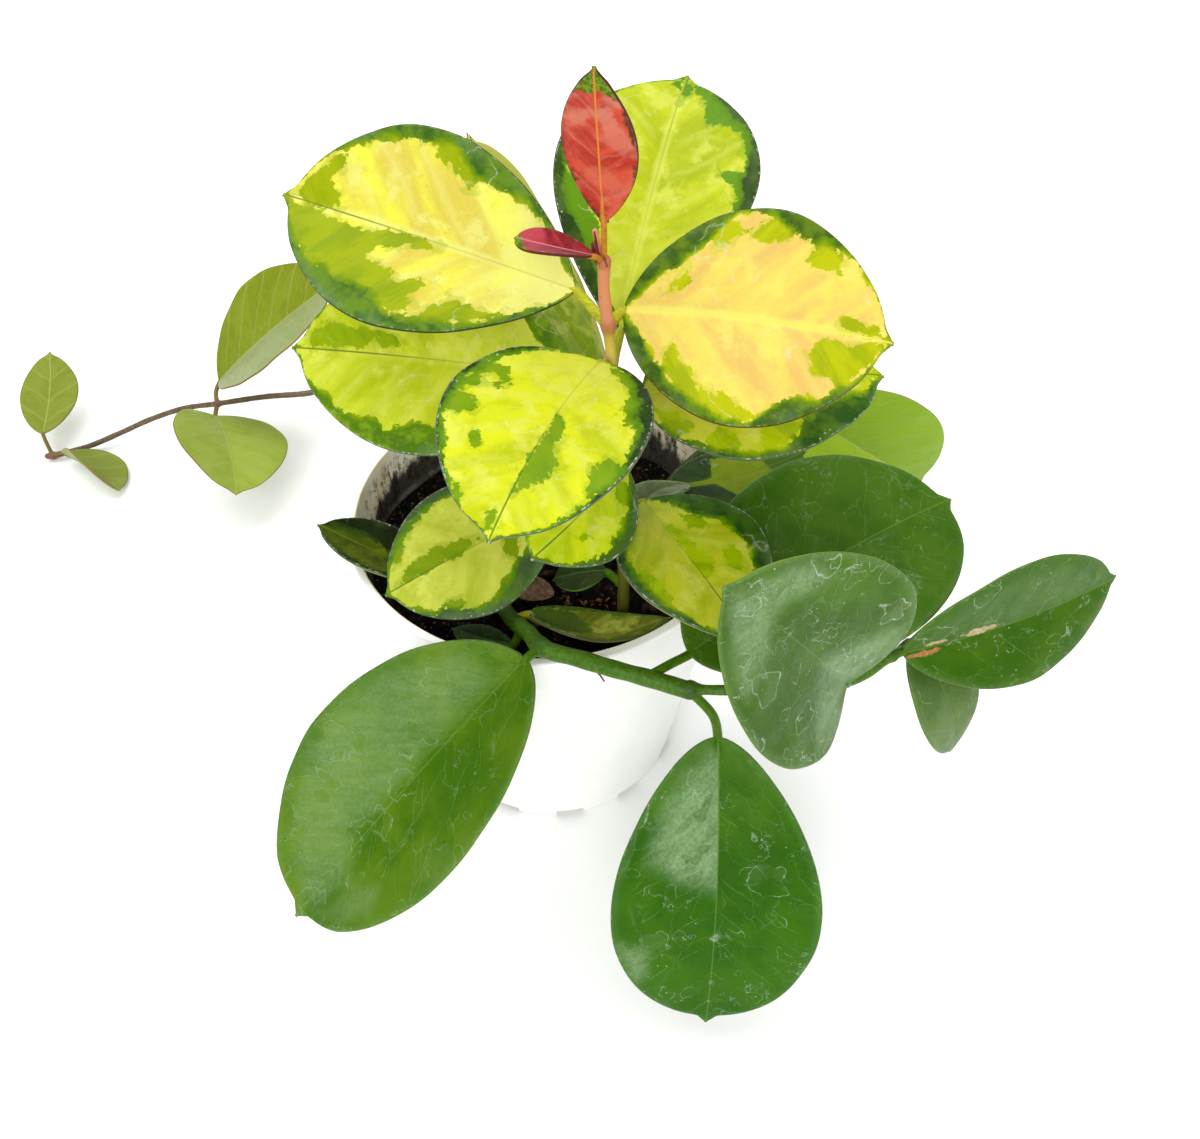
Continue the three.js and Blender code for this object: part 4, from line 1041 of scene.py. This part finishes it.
LOOKS = {
    "leaf_red": RED_LEAF,
    "leaf_red_folded": dict(
        RED_LEAF, deep=0x8B0D1A, main=0xB11E2A, second=0x98474B, second_share=0.85, pink=0xE2606E,
        vein=0xDE8C96, edge_share=0.4, green_from=0.86, tip_slant=-0.05,
    ),
    "leaf_top_left": dict(
        YELLOW_LEAF, dark=0x3A661C, dark_two=0x689020, band=0.5, base_pale=0.75,
        patches=[
            (98.5,10, 93,55, 88.5,72, 87,85, 83,72, 83,55, 86,42, 84,30, 81,22, 79,0, 90,0),
            (98,-10, 90,-5, 87,-6, 80,-13, 70,-12, 62,-5, 42,-2, 50,-10, 63,-22, 65.5,-33, 61,-40, 55.5,-38,
             53,-45, 53,-53, 45,-42, 44,-47, 47.5,-60, 45,-67, 46.5,-80, 60,-85, 80,-85, 95,-85),
            (60,92, 56,80, 50,70, 47,66, 45,72, 42,62, 41,56, 40,68, 35,80, 30,85, 25,88, 40,100, 60,100),
            (34.5,-55, 34,-62, 40,-72, 47,-90, 44,-95, 30,-85, 22,-90, 10,-85, 10,-95),
        ],
        margin_right=(0,70, 5,70, 10,80, 20,90, 25,85, 30,78, 35,72, 40,75, 50,90, 60,85, 70,86, 80,90,
            90,97, 100,100),
        margin_left=(0,85, 10,85, 20,90, 30,92, 40,85, 50,85, 60,70, 70,70, 80,75, 93,85, 100,100),
    ),
    "leaf_top_right": dict(
        YELLOW_LEAF, ground=0xFFE868, ground_two=0xF6CC6E, patch=0xC8CE04, dark=0x385E14, dark_two=0x68861A,
        vein=0xFFF876, midrib=0xFFF060, band=0.75, rim=0x683E22,
        patches=[
            (31,-62, 36,-66, 40,-80, 36,-92, 30,-86),
            (42,-72, 50,-68, 57,-72, 60,-86, 54,-95, 45,-85),
            (66,-62, 72,-60, 77,-66, 78,-80, 73,-95, 68,-88),
            (14,-22, 18,-20, 21,-25, 24,-33, 22,-50, 19,-40, 16,-36),
            (79,-12, 80,-20, 86,-22, 93,-30, 97,-20, 96,-5, 88,-6, 83,-2),
            (74,18, 77,12, 82,12, 90,16, 97,10, 97,60, 90,75, 85,85, 83,72, 80,60, 77,52, 74,50, 72,32),
            (22,42, 23.5,50, 28,55, 32.5,62, 36,74, 41,75, 47,74, 50,80, 54,84, 59,93, 50,100, 30,100,
             20,70),
        ],
        margin_right=(0,30, 4,45, 10,55, 14,62, 20,78, 27,84, 33,93, 45,97, 57,96, 61,84, 66,77, 71,76,
            75,84, 78,93, 82,88, 90,90, 97,80),
        margin_left=(0,30, 7,45, 12,55, 20,62, 27,72, 32,85, 38,97, 50,95, 56,88, 62,80, 66,82, 70,90,
            80,96, 100,100),
    ),
    "leaf_back_right": dict(
        LIME_LEAF, ground=0xD6E21E, ground_two=0xB8CA06, patch=0x689E08, dark=0x204010, dark_two=0x3F5C13,
        midrib=0xBAC634, bloom=0.25, band=0.5,
        patches=[
            (93,40, 88,42, 84,45, 80,40, 78,52, 79,68, 77,82, 72,85, 68,80, 65,84, 62,86, 70,100, 90,100,
             97,60),
            (60,62, 58,60, 56,70, 55,85, 60,85, 61,75),
            (98,0, 97,35, 93,28, 89,12, 83,2, 86,-2, 90,0),
            (97,-35, 96,-20, 93,-15, 94,-35),
            (50,-110, 45,-70, 38,-62, 30,-55, 22,-50, 15,-50, 10,-70, 10,-110),
        ],
        margin_right=(0,90, 50,85, 55,80, 60,85, 65,85, 70,88, 75,90, 80,85, 85,80, 90,85, 100,100),
        margin_left=(0,40, 10,55, 20,60, 27,75, 35,88, 50,88, 65,90, 80,97, 100,100),
    ),
    "leaf_front": dict(
        LIME_LEAF, ground=0xF0F81E, ground_two=0xCEDA06, dark=0x122C0C, dark_two=0x284C0E, bloom=0.1,
        patches=[
            (38,0, 42,-10, 50,-20, 57,-18, 60,-22, 64,-30, 70,-33, 74,-27, 76,-15, 81,-5, 80,0),
            (29,72, 34,60, 38,56, 42,64, 42,70, 46,78, 47,90, 40,97, 33,93),
            (50,98, 50,82, 53,66, 57,68, 57,78, 60,80, 62,97),
            (65,50, 64,60, 66,66, 70,60, 68,50),
            (86,90, 85,75, 88,72, 90,95),
            (87,10, 90,30, 96,35, 97,10, 92,3),
            (58,-80, 60,-70, 64,-68, 68,-72, 73,-80, 78,-92, 70,-98, 60,-98),
            (4,-50, 10,-50, 14,-62, 20,-75, 27,-70, 33,-68, 40,-74, 46,-86, 54,-93, 30,-100, 10,-100),
        ],
        gaps=[
            (37,68, 36,80, 40,84, 42,78, 40,68),
        ],
        margin_right=(0,90, 10,91, 30,91, 45,89, 60,93, 80,96, 100,100),
        margin_left=(0,80, 10,80, 20,80, 35,82, 50,88, 70,94, 100,100),
    ),
    "leaf_middle_left": dict(
        LIME_LEAF, ground=0xE2EE38, ground_two=0xC4D614, patch=0x9EBA00, dark=0x548014, dark_two=0x8CB018,
        midrib=0x6E8228,
        patches=[
            (99,10, 93,60, 88,60, 83,45, 78,32, 70,24, 62,22, 60,10, 70,10, 80,5, 90,3),
        ],
        margin_right=(0,30, 8,40, 12,50, 20,75, 25,85, 30,93, 100,97),
        margin_left=(0,90, 40,85, 46,72, 50,70, 57,74, 60,85, 64,74, 69,76, 72,85, 80,85, 84,75, 90,88,
            100,90),
    ),
    "leaf_middle_right": dict(
        LIME_LEAF, ground=0xF0F032, ground_two=0xCEDC0E, patch=0xCDE300, mid=0x6C9600, dark=0x2A5712,
        dark_two=0x517C16,
        patches=[
            (3,50, 10,45, 18,55, 17,75, 12,90, 5,95),
            (22,85, 24,75, 28,62, 34,68, 35,80, 33,95, 25,100),
            (44,75, 45,68, 50,60, 55,55, 60,55, 61,70, 57,85, 50,90, 45,90),
            (90,20, 93,-20, 97,-30, 98,20),
            (30,-70, 40,-60, 50,-75, 46,-100, 32,-100),
        ],
        margin_right=(0,80, 5,90, 20,93, 30,93, 40,95, 50,92, 58,85, 62,62, 68,55, 75,50, 82,45, 90,60,
            97,50, 100,30),
        margin_left=(0,60, 15,80, 35,86, 50,90, 75,80, 90,75, 100,80),
    ),
    "leaf_back_left": dict(
        LIME_LEAF, ground=0x86A800, ground_two=0x96B600, patch=0xD7D75A, mid=0xD7D75A, dark=0xAA823C,
        dark_two=0xBEBE50, band=0, base_pale=0, rim=0x966E32,
        patches=[
            (50,120, 50,-120, 100,-120, 100,120),
        ],
        margin_right=(0,80, 50,93, 100,97),
        margin_left=(0,80, 50,90, 100,97),
    ),
    "leaf_low_front": dict(
        LIME_LEAF, ground=0xE6F51A, ground_two=0xC1DC04, patch=0xA7CB00, dark=0x4C6826,
        patches=[
            (56,-30, 60,-25, 64,-35, 60,-42),
            (8,-10, 15,-5, 25,-25, 30,-55, 20,-70, 10,-50),
            (40,50, 50,40, 56,55, 50,75, 42,70),
        ],
        margin_right=(0,80, 30,88, 70,90, 100,90),
        margin_left=(0,50, 10,60, 30,75, 50,75, 65,85, 80,90, 100,90),
    ),
    "leaf_low_right": dict(
        LIME_LEAF, ground=0xDEE42E, ground_two=0xB4C804, patch=0xBDD800, dark=0x285314,
        patches=[
            (20,-2, 25,-15, 33,-12, 40,-20, 50,-25, 60,-10, 60,0, 40,0),
            (20,-35, 30,-30, 36,-50, 28,-60),
            (50,-40, 60,-35, 68,-50, 60,-62, 52,-55),
            (10,60, 25,55, 35,70, 30,90, 12,90),
            (45,68, 55,60, 66,66, 70,90, 50,95),
        ],
        margin_right=(0,70, 20,85, 50,88, 80,85, 100,85),
        margin_left=(0,50, 10,50, 30,55, 34,70, 50,74, 70,70, 85,78, 100,80),
    ),
    # tones darkened to the shade this leaf lies in among the stems: painted shade
    "leaf_inner_right": dict(
        LIME_LEAF, ground=0x526310, ground_two=0x445804, dark=0x1C3212, vein=0x60701E, band=0, base_pale=0,
        margin_right=(0,80, 100,90),
        margin_left=(0,80, 100,90),
    ),
    # tones darkened to the shade this leaf lies in under the leaves above: painted shade
    "leaf_inner_dark": dict(DEEP_LEAF, deep=0x1A340A, light=0x2C4814, rings=0.2, bloom_tone=0x5A6E50),
    "leaf_low_left": dict(
        LIME_LEAF, ground=0xDCE654, ground_two=0xC0D032, patch=0x90AC0A, dark=0x466038, dark_two=0x5A7E2E,
        patches=[
            (93,3, 88,20, 80,25, 75,30, 66,25, 58,20, 50,14, 43,3, 55,-1, 70,0),
            (90,60, 85,55, 80,62, 78,75, 72,72, 66,80, 65,95, 80,95),
            (30,0, 25,-10, 27,-35, 33,-50, 36,-40, 33,-20),
            (70,-62, 66,-60, 62,-68, 68,-85, 75,-85, 76,-70),
        ],
        margin_right=(0,80, 30,86, 50,85, 70,82, 85,80, 93,72, 100,55),
        margin_left=(0,40, 15,45, 25,55, 33,62, 42,70, 50,80, 60,86, 70,82, 78,80, 85,88, 100,90),
    ),
    # tones darkened to the shade this leaf lies in under the canopy: painted shade
    "leaf_over_rim_left": dict(
        LIME_LEAF, ground=0x4C5A04, ground_two=0x3B4C02, patch=0x3C5404, mid=0x284208, dark=0x050E06,
        dark_two=0x10220A, vein=0x768810, bloom=0.1, band=0, base_pale=0, rim_pale=0xCDD296,
        margin_right=(0,20, 30,25, 50,30, 80,35, 100,30),
        margin_left=(0,70, 30,90, 85,90, 100,80),
    ),
    # tones darkened to the shade this leaf lies in under the canopy: painted shade
    "leaf_boat": dict(
        LIME_LEAF, ground=0x969E28, ground_two=0x788618, patch=0x607428, dark=0x364614,
        patches=[
            (0,-80, 30,-70, 45,0, 30,70, 0,80),
        ],
        margin_right=(0,80, 40,92, 100,90),
        margin_left=(0,80, 40,92, 100,90),
    ),
    # tones darkened to the shade this leaf lies in under the canopy: painted shade
    "leaf_small_front": dict(DEEP_LEAF, deep=0x264622, light=0x3E6030, rings=0.2),
    "leaf_dark_left": dict(
        DEEP_LEAF, deep=0x417404, light=0x5F870E, rings=0.35, bloom=0.33, net=0.26,
        patches=[
            (10,10, 10,80, 30,95, 60,97, 85,80, 97,30, 90,-30, 80,-30, 70,5),
            (72,-60, 80,-40, 95,-40, 90,-80, 80,-90),
        ],
    ),
    "leaf_dark_front": dict(
        DEEP_LEAF, deep=0x226000, light=0x387200, rings=0.5, bloom=0.75, bloom_side=1, drops_from=0.6,
        net=0.15,
        patches=[
            (3,-30, 3,40, 10,70, 25,80, 40,72, 47,40, 52,-30),
            (68,98, 70,66, 78,72, 86,98),
        ],
    ),
    "leaf_dark_upright": dict(
        DEEP_LEAF, deep=0x3F6B13, light=0x527E1F, ring=0xD7E6D2, rings=0.8, bloom=0.82, edge_bloom=0.2,
        drops_from=0.12, net=0.2,
        patches=[
            (70,-80, 66,-30, 72,20, 66,70, 80,85, 97,30, 97,-30, 85,-80),
            (2,-90, 2,90, 20,90, 28,30, 30,0, 28,-30, 20,-90),
        ],
    ),
    "leaf_dark_right": dict(DEEP_LEAF, deep=0x366708, light=0x4B7713, rings=0.3),
    "leaf_dark_far": dict(
        DEEP_LEAF, deep=0x346604, light=0x48740A, bloom=0.17, bloom_side=-1, burns=[(0.32, -1.3, 1.4,
        0xE6CEA0), (0.14, -1.3, 0.7, 0xDEBE8C), (0.08, 1.5, 1.1, 0xCE8E5A)],
        patches=[
            (5,-100, 5,10, 60,10, 97,10, 95,-100),
        ],
    ),
    "leaf_dark_hanging": dict(DEEP_LEAF, deep=0x587A34, light=0x6E8E46, rings=0.3),
    "leaf_back_olive": dict(
        LIME_LEAF, ground=0x859B00, ground_two=0x6C8800, patch=0x426A04, mid=0x325408, dark=0x193413,
        dark_two=0x26460E, vein=0x8CA00E, soft=(-0.6, 1), bloom=0.12, band=0, base_pale=0, rim=0x6E5A32,
        patches=[
            (62,-100, 70,0, 66,100, 100,100, 100,-100),
        ],
        margin_right=(0,0, 28,10, 36,80, 100,95),
        margin_left=(0,0, 28,10, 36,80, 100,95),
    ),
    # The second tone on one half is darker here: painted shade on that half.
    "leaf_back_green": dict(
        VINE_LEAF, main=0xB1D926, main_two=0xBBDF33, pale=0x91B921, pale_share=0.8, pale_side=-1,
        vein_share=0.08, vein=0xC4D482, rim=0x96AA50, stalk=0x82963C,
    ),
    "vine_leaf_upper": dict(VINE_LEAF, main=0x889616, main_two=0x92A224, pale=0xB0BE8C, pale_share=0.75),
    "vine_leaf_near": dict(VINE_LEAF, main=0xA0B83C, main_two=0xACC04E),
    "vine_leaf_end": dict(VINE_LEAF, main=0x88942C, main_two=0x929E38),
    "vine_leaf_low": dict(VINE_LEAF, main=0x8E9C3C, main_two=0x9AA84A),
}

# main colour, streaks and spots of each stem, then the colour that comes in with height, if any
STEM_LOOKS = {
    "stem_upright": [(0xE6CC48, 0xEED260, 0xBA6446),
                     # the olive that comes in low down is partly the stem's own colour and partly painted
                     # shade
                     [(0xFCA47A, 195.0, 199.0), (0x787828, 165.0, 118.0)]],
    "stem_trailing": [(0x407004, 0x5C880E, 0x365C14)],
    "stem_left_shoot": [(0x969E46, 0x82903C, 0x606830)],
    "stem_back_shoot": [(0x3C540A, 0x304406, 0x242C0C)],
    "stem_vine": [(0x68543A, 0x806E50, 0x966054)],
}


# ---- making the pot and its potting mix ------------------------------------------------------------
COLLAR_BOTTOM = POT_HEIGHT - COLLAR_HEIGHT
BAND_TOP_RADIUS = RIM_RADIUS - LIP_WIDTH
BAND_RADIUS = BAND_TOP_RADIUS - COLLAR_FLARE
WALL_TOP_RADIUS = BAND_RADIUS - COLLAR_STEP
INNER_STEP = COLLAR_BOTTOM - COLLAR_STEP + WALL


def rounded(corners, radii, steps=5):
    """A profile whose corners are rounded, each by its own radius."""
    path = []
    for i, (corner, radius) in enumerate(zip(corners, radii)):
        corner = np.array(corner, float)
        if radius == 0 or i in (0, len(corners) - 1):
            path.append(corner)
            continue
        before = unit(np.array(corners[i - 1], float) - corner)
        after = unit(np.array(corners[i + 1], float) - corner)
        start, end = corner + before * radius, corner + after * radius
        for share in np.linspace(0, 1, steps):
            path.append((1 - share) ** 2 * start + 2 * share * (1 - share) * corner + share**2 * end)
    return np.array(path)


def lathe_shell(profile, segments=160):
    """A closed solid of revolution from a profile that starts and ends on the axis."""
    angles = 2 * np.pi * np.arange(segments) / segments
    inner = profile[1:-1]
    rings = [np.stack([r * np.cos(angles), r * np.sin(angles), 0 * angles + z], axis=-1) for r, z in inner]
    caps = np.array([[0, 0, profile[0][1]], [0, 0, profile[-1][1]]])
    return np.vstack([*rings, caps]), ring_faces(len(rings), segments), {}


def pot_profile():
    corners = [
        (0, 0), (FOOT_RADIUS, 0),
        (WALL_TOP_RADIUS, COLLAR_BOTTOM - COLLAR_STEP), (BAND_RADIUS, COLLAR_BOTTOM),
        (BAND_TOP_RADIUS, POT_HEIGHT - LIP_HEIGHT), (RIM_RADIUS, POT_HEIGHT - LIP_HEIGHT),
        (RIM_RADIUS, POT_HEIGHT), (BAND_TOP_RADIUS - WALL, POT_HEIGHT),
        (BAND_RADIUS - WALL, COLLAR_BOTTOM + WALL), (WALL_TOP_RADIUS - WALL, INNER_STEP),
        (FOOT_RADIUS - WALL, FLOOR), (0, FLOOR),
    ]
    return rounded(corners, POT_ROUNDINGS)


def inner_radius(height):
    slope = (WALL_TOP_RADIUS - FOOT_RADIUS) / (INNER_STEP - FLOOR)
    return FOOT_RADIUS - WALL + slope * (height - FLOOR)


def slot_cutter():
    """The blocks that cut the drainage slots round the foot."""
    cutter = bmesh.new()
    for i in range(SLOT_COUNT):
        angle = SLOT_START + 2 * math.pi * i / SLOT_COUNT
        made = bmesh.ops.create_cube(cutter, size=1)["verts"]
        bmesh.ops.scale(cutter, vec=(SLOT_DEPTH, SLOT_WIDTH, 2 * SLOT_HEIGHT), verts=made)
        bmesh.ops.translate(cutter, vec=(FOOT_RADIUS, 0, 0), verts=made)
        turn = [[math.cos(angle), -math.sin(angle), 0], [math.sin(angle), math.cos(angle), 0], [0, 0, 1]]
        for vertex in made:
            vertex.co = Vector(np.array(turn) @ vertex.co)
    bmesh.ops.scale(cutter, vec=(MM, MM, MM), verts=cutter.verts)
    mesh = bpy.data.meshes.new("slot_cutter")
    cutter.to_mesh(mesh)
    cutter.free()
    return bpy.data.objects.new("slot_cutter", mesh)


def bake_modifiers(piece):
    """The piece's modifiers as plain mesh."""
    evaluated = piece.evaluated_get(bpy.context.evaluated_depsgraph_get())
    piece.data = bpy.data.meshes.new_from_object(evaluated)
    piece.modifiers.clear()


def make_pot():
    profile = pot_profile()
    points, faces, _ = lathe_shell(profile)
    last_on_top = np.flatnonzero(profile[:, 1] > POT_HEIGHT - 0.01)[-1]
    inner = {tuple(np.round(place, 4)) for place in profile[last_on_top + 1:]}
    within = np.array([(round(math.hypot(x, y), 4), round(z, 4)) in inner for x, y, z in points])
    pot = mesh_piece("pot_moulded", (points, faces, {"inside": within.astype(float)}), pot_finish(),
                     "pot_plastic", "pot")
    cutter = slot_cutter()
    bpy.context.collection.objects.link(cutter)
    cut = pot.modifiers.new("slots", "BOOLEAN")
    cut.operation = "DIFFERENCE"
    cut.solver = "EXACT"
    cut.object = cutter
    bpy.context.view_layer.update()
    bake_modifiers(pot)
    bpy.data.objects.remove(cutter)
    pot.data.set_sharp_from_angle(angle=math.radians(POT_SHARP))


def soil_height(x, y):
    """The potting mix's surface, with the part's own long waves."""
    lumps = sum(share * np.sin(along_x * x + along_y * y) for share, along_x, along_y in SOIL_WAVES)
    return SOIL_TOP + SOIL_UNEVEN * lumps


def rough(x, y, size, seed=0.0):
    """Fine, uneven lumps between about -1 and 1."""
    return noise.fractal(Vector((x / size, y / size, seed)), 0.9, 2.1, 4)


def ground(x, y):
    """The height of the lumpy potting mix."""
    return soil_height(x, y) + SOIL_LUMP * rough(x, y, LUMP_SIZE)


def make_soil():
    bottom = FLOOR + SOIL_GAP
    top_radius = inner_radius(INNER_STEP) - SOIL_GAP
    profile = [(0, bottom), (inner_radius(bottom) - SOIL_GAP, bottom), (top_radius, INNER_STEP - SOIL_UNEVEN)]
    profile += [(top_radius * ring / SOIL_RINGS, SOIL_TOP) for ring in range(SOIL_RINGS, -1, -1)]
    points, faces, _ = lathe_shell(np.array(profile, float), segments=200)
    for point in points:
        if point[2] > SOIL_TOP - 0.01:
            edge = 1 - np.hypot(point[0], point[1]) / top_radius
            lift = rough(*point[:2], LUMP_SIZE) + GRIT_SHARE * rough(*point[:2], GRIT_SIZE, 5.0)
            point[2] = soil_height(*point[:2]) + SOIL_LUMP * lift * float(smooth(0, 0.03, edge))
    finish = soil_finish("potting_mix_fine")
    mesh_piece("potting_mix_rough", (points, faces, {}), finish, "potting_mix", "soil")


def lump_shell(rng, centre, size, stretch):
    """A small faceted lump, turned at random."""
    made = bmesh.new()
    bmesh.ops.create_icosphere(made, subdivisions=1, radius=1)
    points = np.array([vertex.co for vertex in made.verts])
    faces = [tuple(vertex.index for vertex in face.verts) for face in made.faces]
    made.free()
    points = points * (1 + rng.uniform(-0.28, 0.28, (len(points), 1))) * size * stretch
    turn, _ = np.linalg.qr(rng.normal(size=(3, 3)))
    turn *= np.sign(np.linalg.det(turn))
    return centre + points @ turn.T, faces, {}


def make_crumbs():
    """Loose crumbs and bits of bark on the potting mix."""
    rng = np.random.default_rng(SEED)
    reach = inner_radius(SOIL_TOP) - CRUMB_CLEAR
    crumbs, bark = [], []
    for i in range(CRUMB_COUNT):
        radius, angle = reach * math.sqrt(rng.uniform()), rng.uniform(0, 2 * math.pi)
        x, y = radius * math.cos(angle), radius * math.sin(angle)
        kind, lumps = (BARK, bark) if i % BARK_EVERY == 0 else (CRUMB, crumbs)
        size = rng.uniform(*kind["sizes"])
        lumps.append(lump_shell(rng, (x, y, ground(x, y) + size / 4), size, kind["stretch"]))
    mesh_piece("potting_crumbs", join(crumbs), soil_finish("crumb_fine", CRUMB_PAINT), "potting_mix")
    mesh_piece("bark_bits", join(bark), litter_finish("bark_fine", BARK_TONES), "potting_mix")


def bare_blade(leaf, thickness):
    """A small blade without a stalk or fields, thinned to a share of a leaf's thickness."""
    points, faces, _ = blade_shell(leaf, relief=0.0, thickness=thickness * BLADE_THICKNESS)
    return placed(leaf, points, faces, {})


def make_debris():
    """Dry leaf bits, chips and roots on the potting mix, one of them over the rim."""
    rng = np.random.default_rng(SEED + 1)
    dry = [bare_blade(bit, 0.5) for bit in DRY_BITS]
    mesh_piece("dry_leaf_bits", join(dry), litter_finish("dry_leaf_fine", DRY_TONES), "potting_mix")
    chips = []
    for x, y in CHIP_PLACES:
        for _ in range(CHIPS_EACH):
            place = np.array([x, y, 0]) + rng.uniform(-CHIP_SPREAD, CHIP_SPREAD, 3)
            place[2] = ground(*place[:2]) + 0.5
            chips.append(lump_shell(rng, place, rng.uniform(*CHIP["sizes"]), CHIP["stretch"]))
    mesh_piece("orange_chips", join(chips), litter_finish("orange_chip_fine", CHIP_TONES), "potting_mix")
    strands = []
    for radius, route in DRY_STRANDS:
        path = curve_through(route, step=0.6)
        shares = np.linspace(0, 1, len(path))
        radii = radius * (1 - 0.5 * shares) * (1 + 0.2 * np.sin(9 * shares + radius))
        strands.append(tube_shell(path, radii, sides=8)[:2] + ({},))
    mesh_piece("dry_roots", join(strands), litter_finish("dry_root_fine", ROOT_TONES), "potting_mix")


def make_bud():
    """Tiny pointed scales round the growing tip of the upright stem."""
    scales = [bare_blade(scale, 0.4) for scale in BUD_SCALES]
    mesh_piece("bud_scales", join(scales), litter_finish("bud_fine", BUD_TONES), "green_stem")


# ---- making the stems and leaves -------------------------------------------------------------------
def stem_shell(stem):
    """The runs of a stem as fine tubes that swell at its nodes."""
    shells = []
    for radius, route in stem["runs"]:
        path = curve_through(route, step=1.0)
        radii = np.full(len(path), float(radius))
        for place, swollen in stem["nodes"]:
            gap = np.linalg.norm(path - np.array(place, float), axis=1)
            radii = np.maximum(radii, radius + (swollen - radius) * np.exp(-((gap / (0.8 * swollen)) ** 2)))
        lengths = lengths_along(path)
        radii *= 1 + STEM_UNEVEN * np.sin(lengths * 0.55 + radius) * np.sin(lengths * 0.21)
        points, faces, _ = tube_shell(path, radii, sides=24)
        node = np.zeros(len(points))
        for place, swollen in stem["nodes"]:
            gap = np.linalg.norm(points - np.array(place, float), axis=1)
            node = np.maximum(node, smooth(swollen * 1.5, swollen * 0.8, gap))
        shells.append((points, faces, {"node": node}))
    return join(shells)


def make_stems():
    for name, stem in STEMS.items():
        slot = "vine_stem" if name == "stem_vine" else "green_stem"
        finish = stem_finish(name + "_fine", *STEM_LOOKS[name])
        mesh_piece("fine_" + name, stem_shell(stem), finish, slot, name)


FINISH_CALLS = {"variegated": variegated_finish, "dark": dark_finish, "vine": vine_finish, "red": red_finish}


def make_leaves():
    for order, name in enumerate(LEAVES):
        leaf = {**LEAVES[name], **LOOKS[name]}
        leaf["length"] = leaf_axes(leaf)[1]
        kind = leaf["finish"]
        finish = FINISH_CALLS[kind](name + "_fine", leaf, SEED_STEP * order)
        shell = placed(leaf, *join([blade_shell(leaf), petiole_shell(leaf)]))
        mesh_piece("fine_" + name, shell, finish, kind + "_leaf", name)


# ---- floor, lights and camera ----------------------------------------------------------------------
def make_floor():
    mesh = bpy.data.meshes.new("floor")
    corners = [(-1, -1), (1, -1), (1, 1), (-1, 1)]
    mesh.from_pydata([(x * FLOOR_REACH, y * FLOOR_REACH, 0) for x, y in corners], [], [(0, 1, 2, 3)])
    mesh.materials.append(floor_finish())
    floor = bpy.data.objects.new("floor", mesh)
    bpy.context.collection.objects.link(floor)


def make_lights():
    world = bpy.data.worlds.new("studio")
    world.use_nodes = True
    background = world.node_tree.nodes["Background"].inputs
    background["Color"].default_value = (1.0, 1.0, 1.0, 1.0)
    background["Strength"].default_value = SKY
    bpy.context.scene.world = world
    for name, azimuth, elevation, strength, spread in SOFTBOXES:
        light = bpy.data.lights.new(name, "SUN")
        light.energy = strength
        light.angle = math.radians(spread)
        lamp = bpy.data.objects.new(name, light)
        bpy.context.collection.objects.link(lamp)
        around, above = math.radians(azimuth), math.radians(elevation)
        level = math.cos(above)
        towards = Vector((math.sin(around) * level, math.cos(around) * level, math.sin(above)))
        lamp.rotation_euler = towards.to_track_quat("Z", "Y").to_euler()


def make_camera():
    data = bpy.data.cameras.new("camera")
    data.sensor_fit = "HORIZONTAL"
    data.sensor_width = SENSOR_WIDTH
    data.lens = CAMERA_LENS
    data.clip_end = CAMERA_REACH
    camera = bpy.data.objects.new("camera", data)
    camera.location = Vector(CAMERA_AT) * MM
    camera.rotation_euler = (math.radians(90 - CAMERA_DOWN), 0, 0)
    bpy.context.collection.objects.link(camera)
    bpy.context.scene.camera = camera


make_camera()
make_pot()
make_soil()
make_crumbs()
make_debris()
make_stems()
make_bud()
make_leaves()
make_floor()
make_lights()
bpy.context.scene.view_settings.view_transform = "Standard"
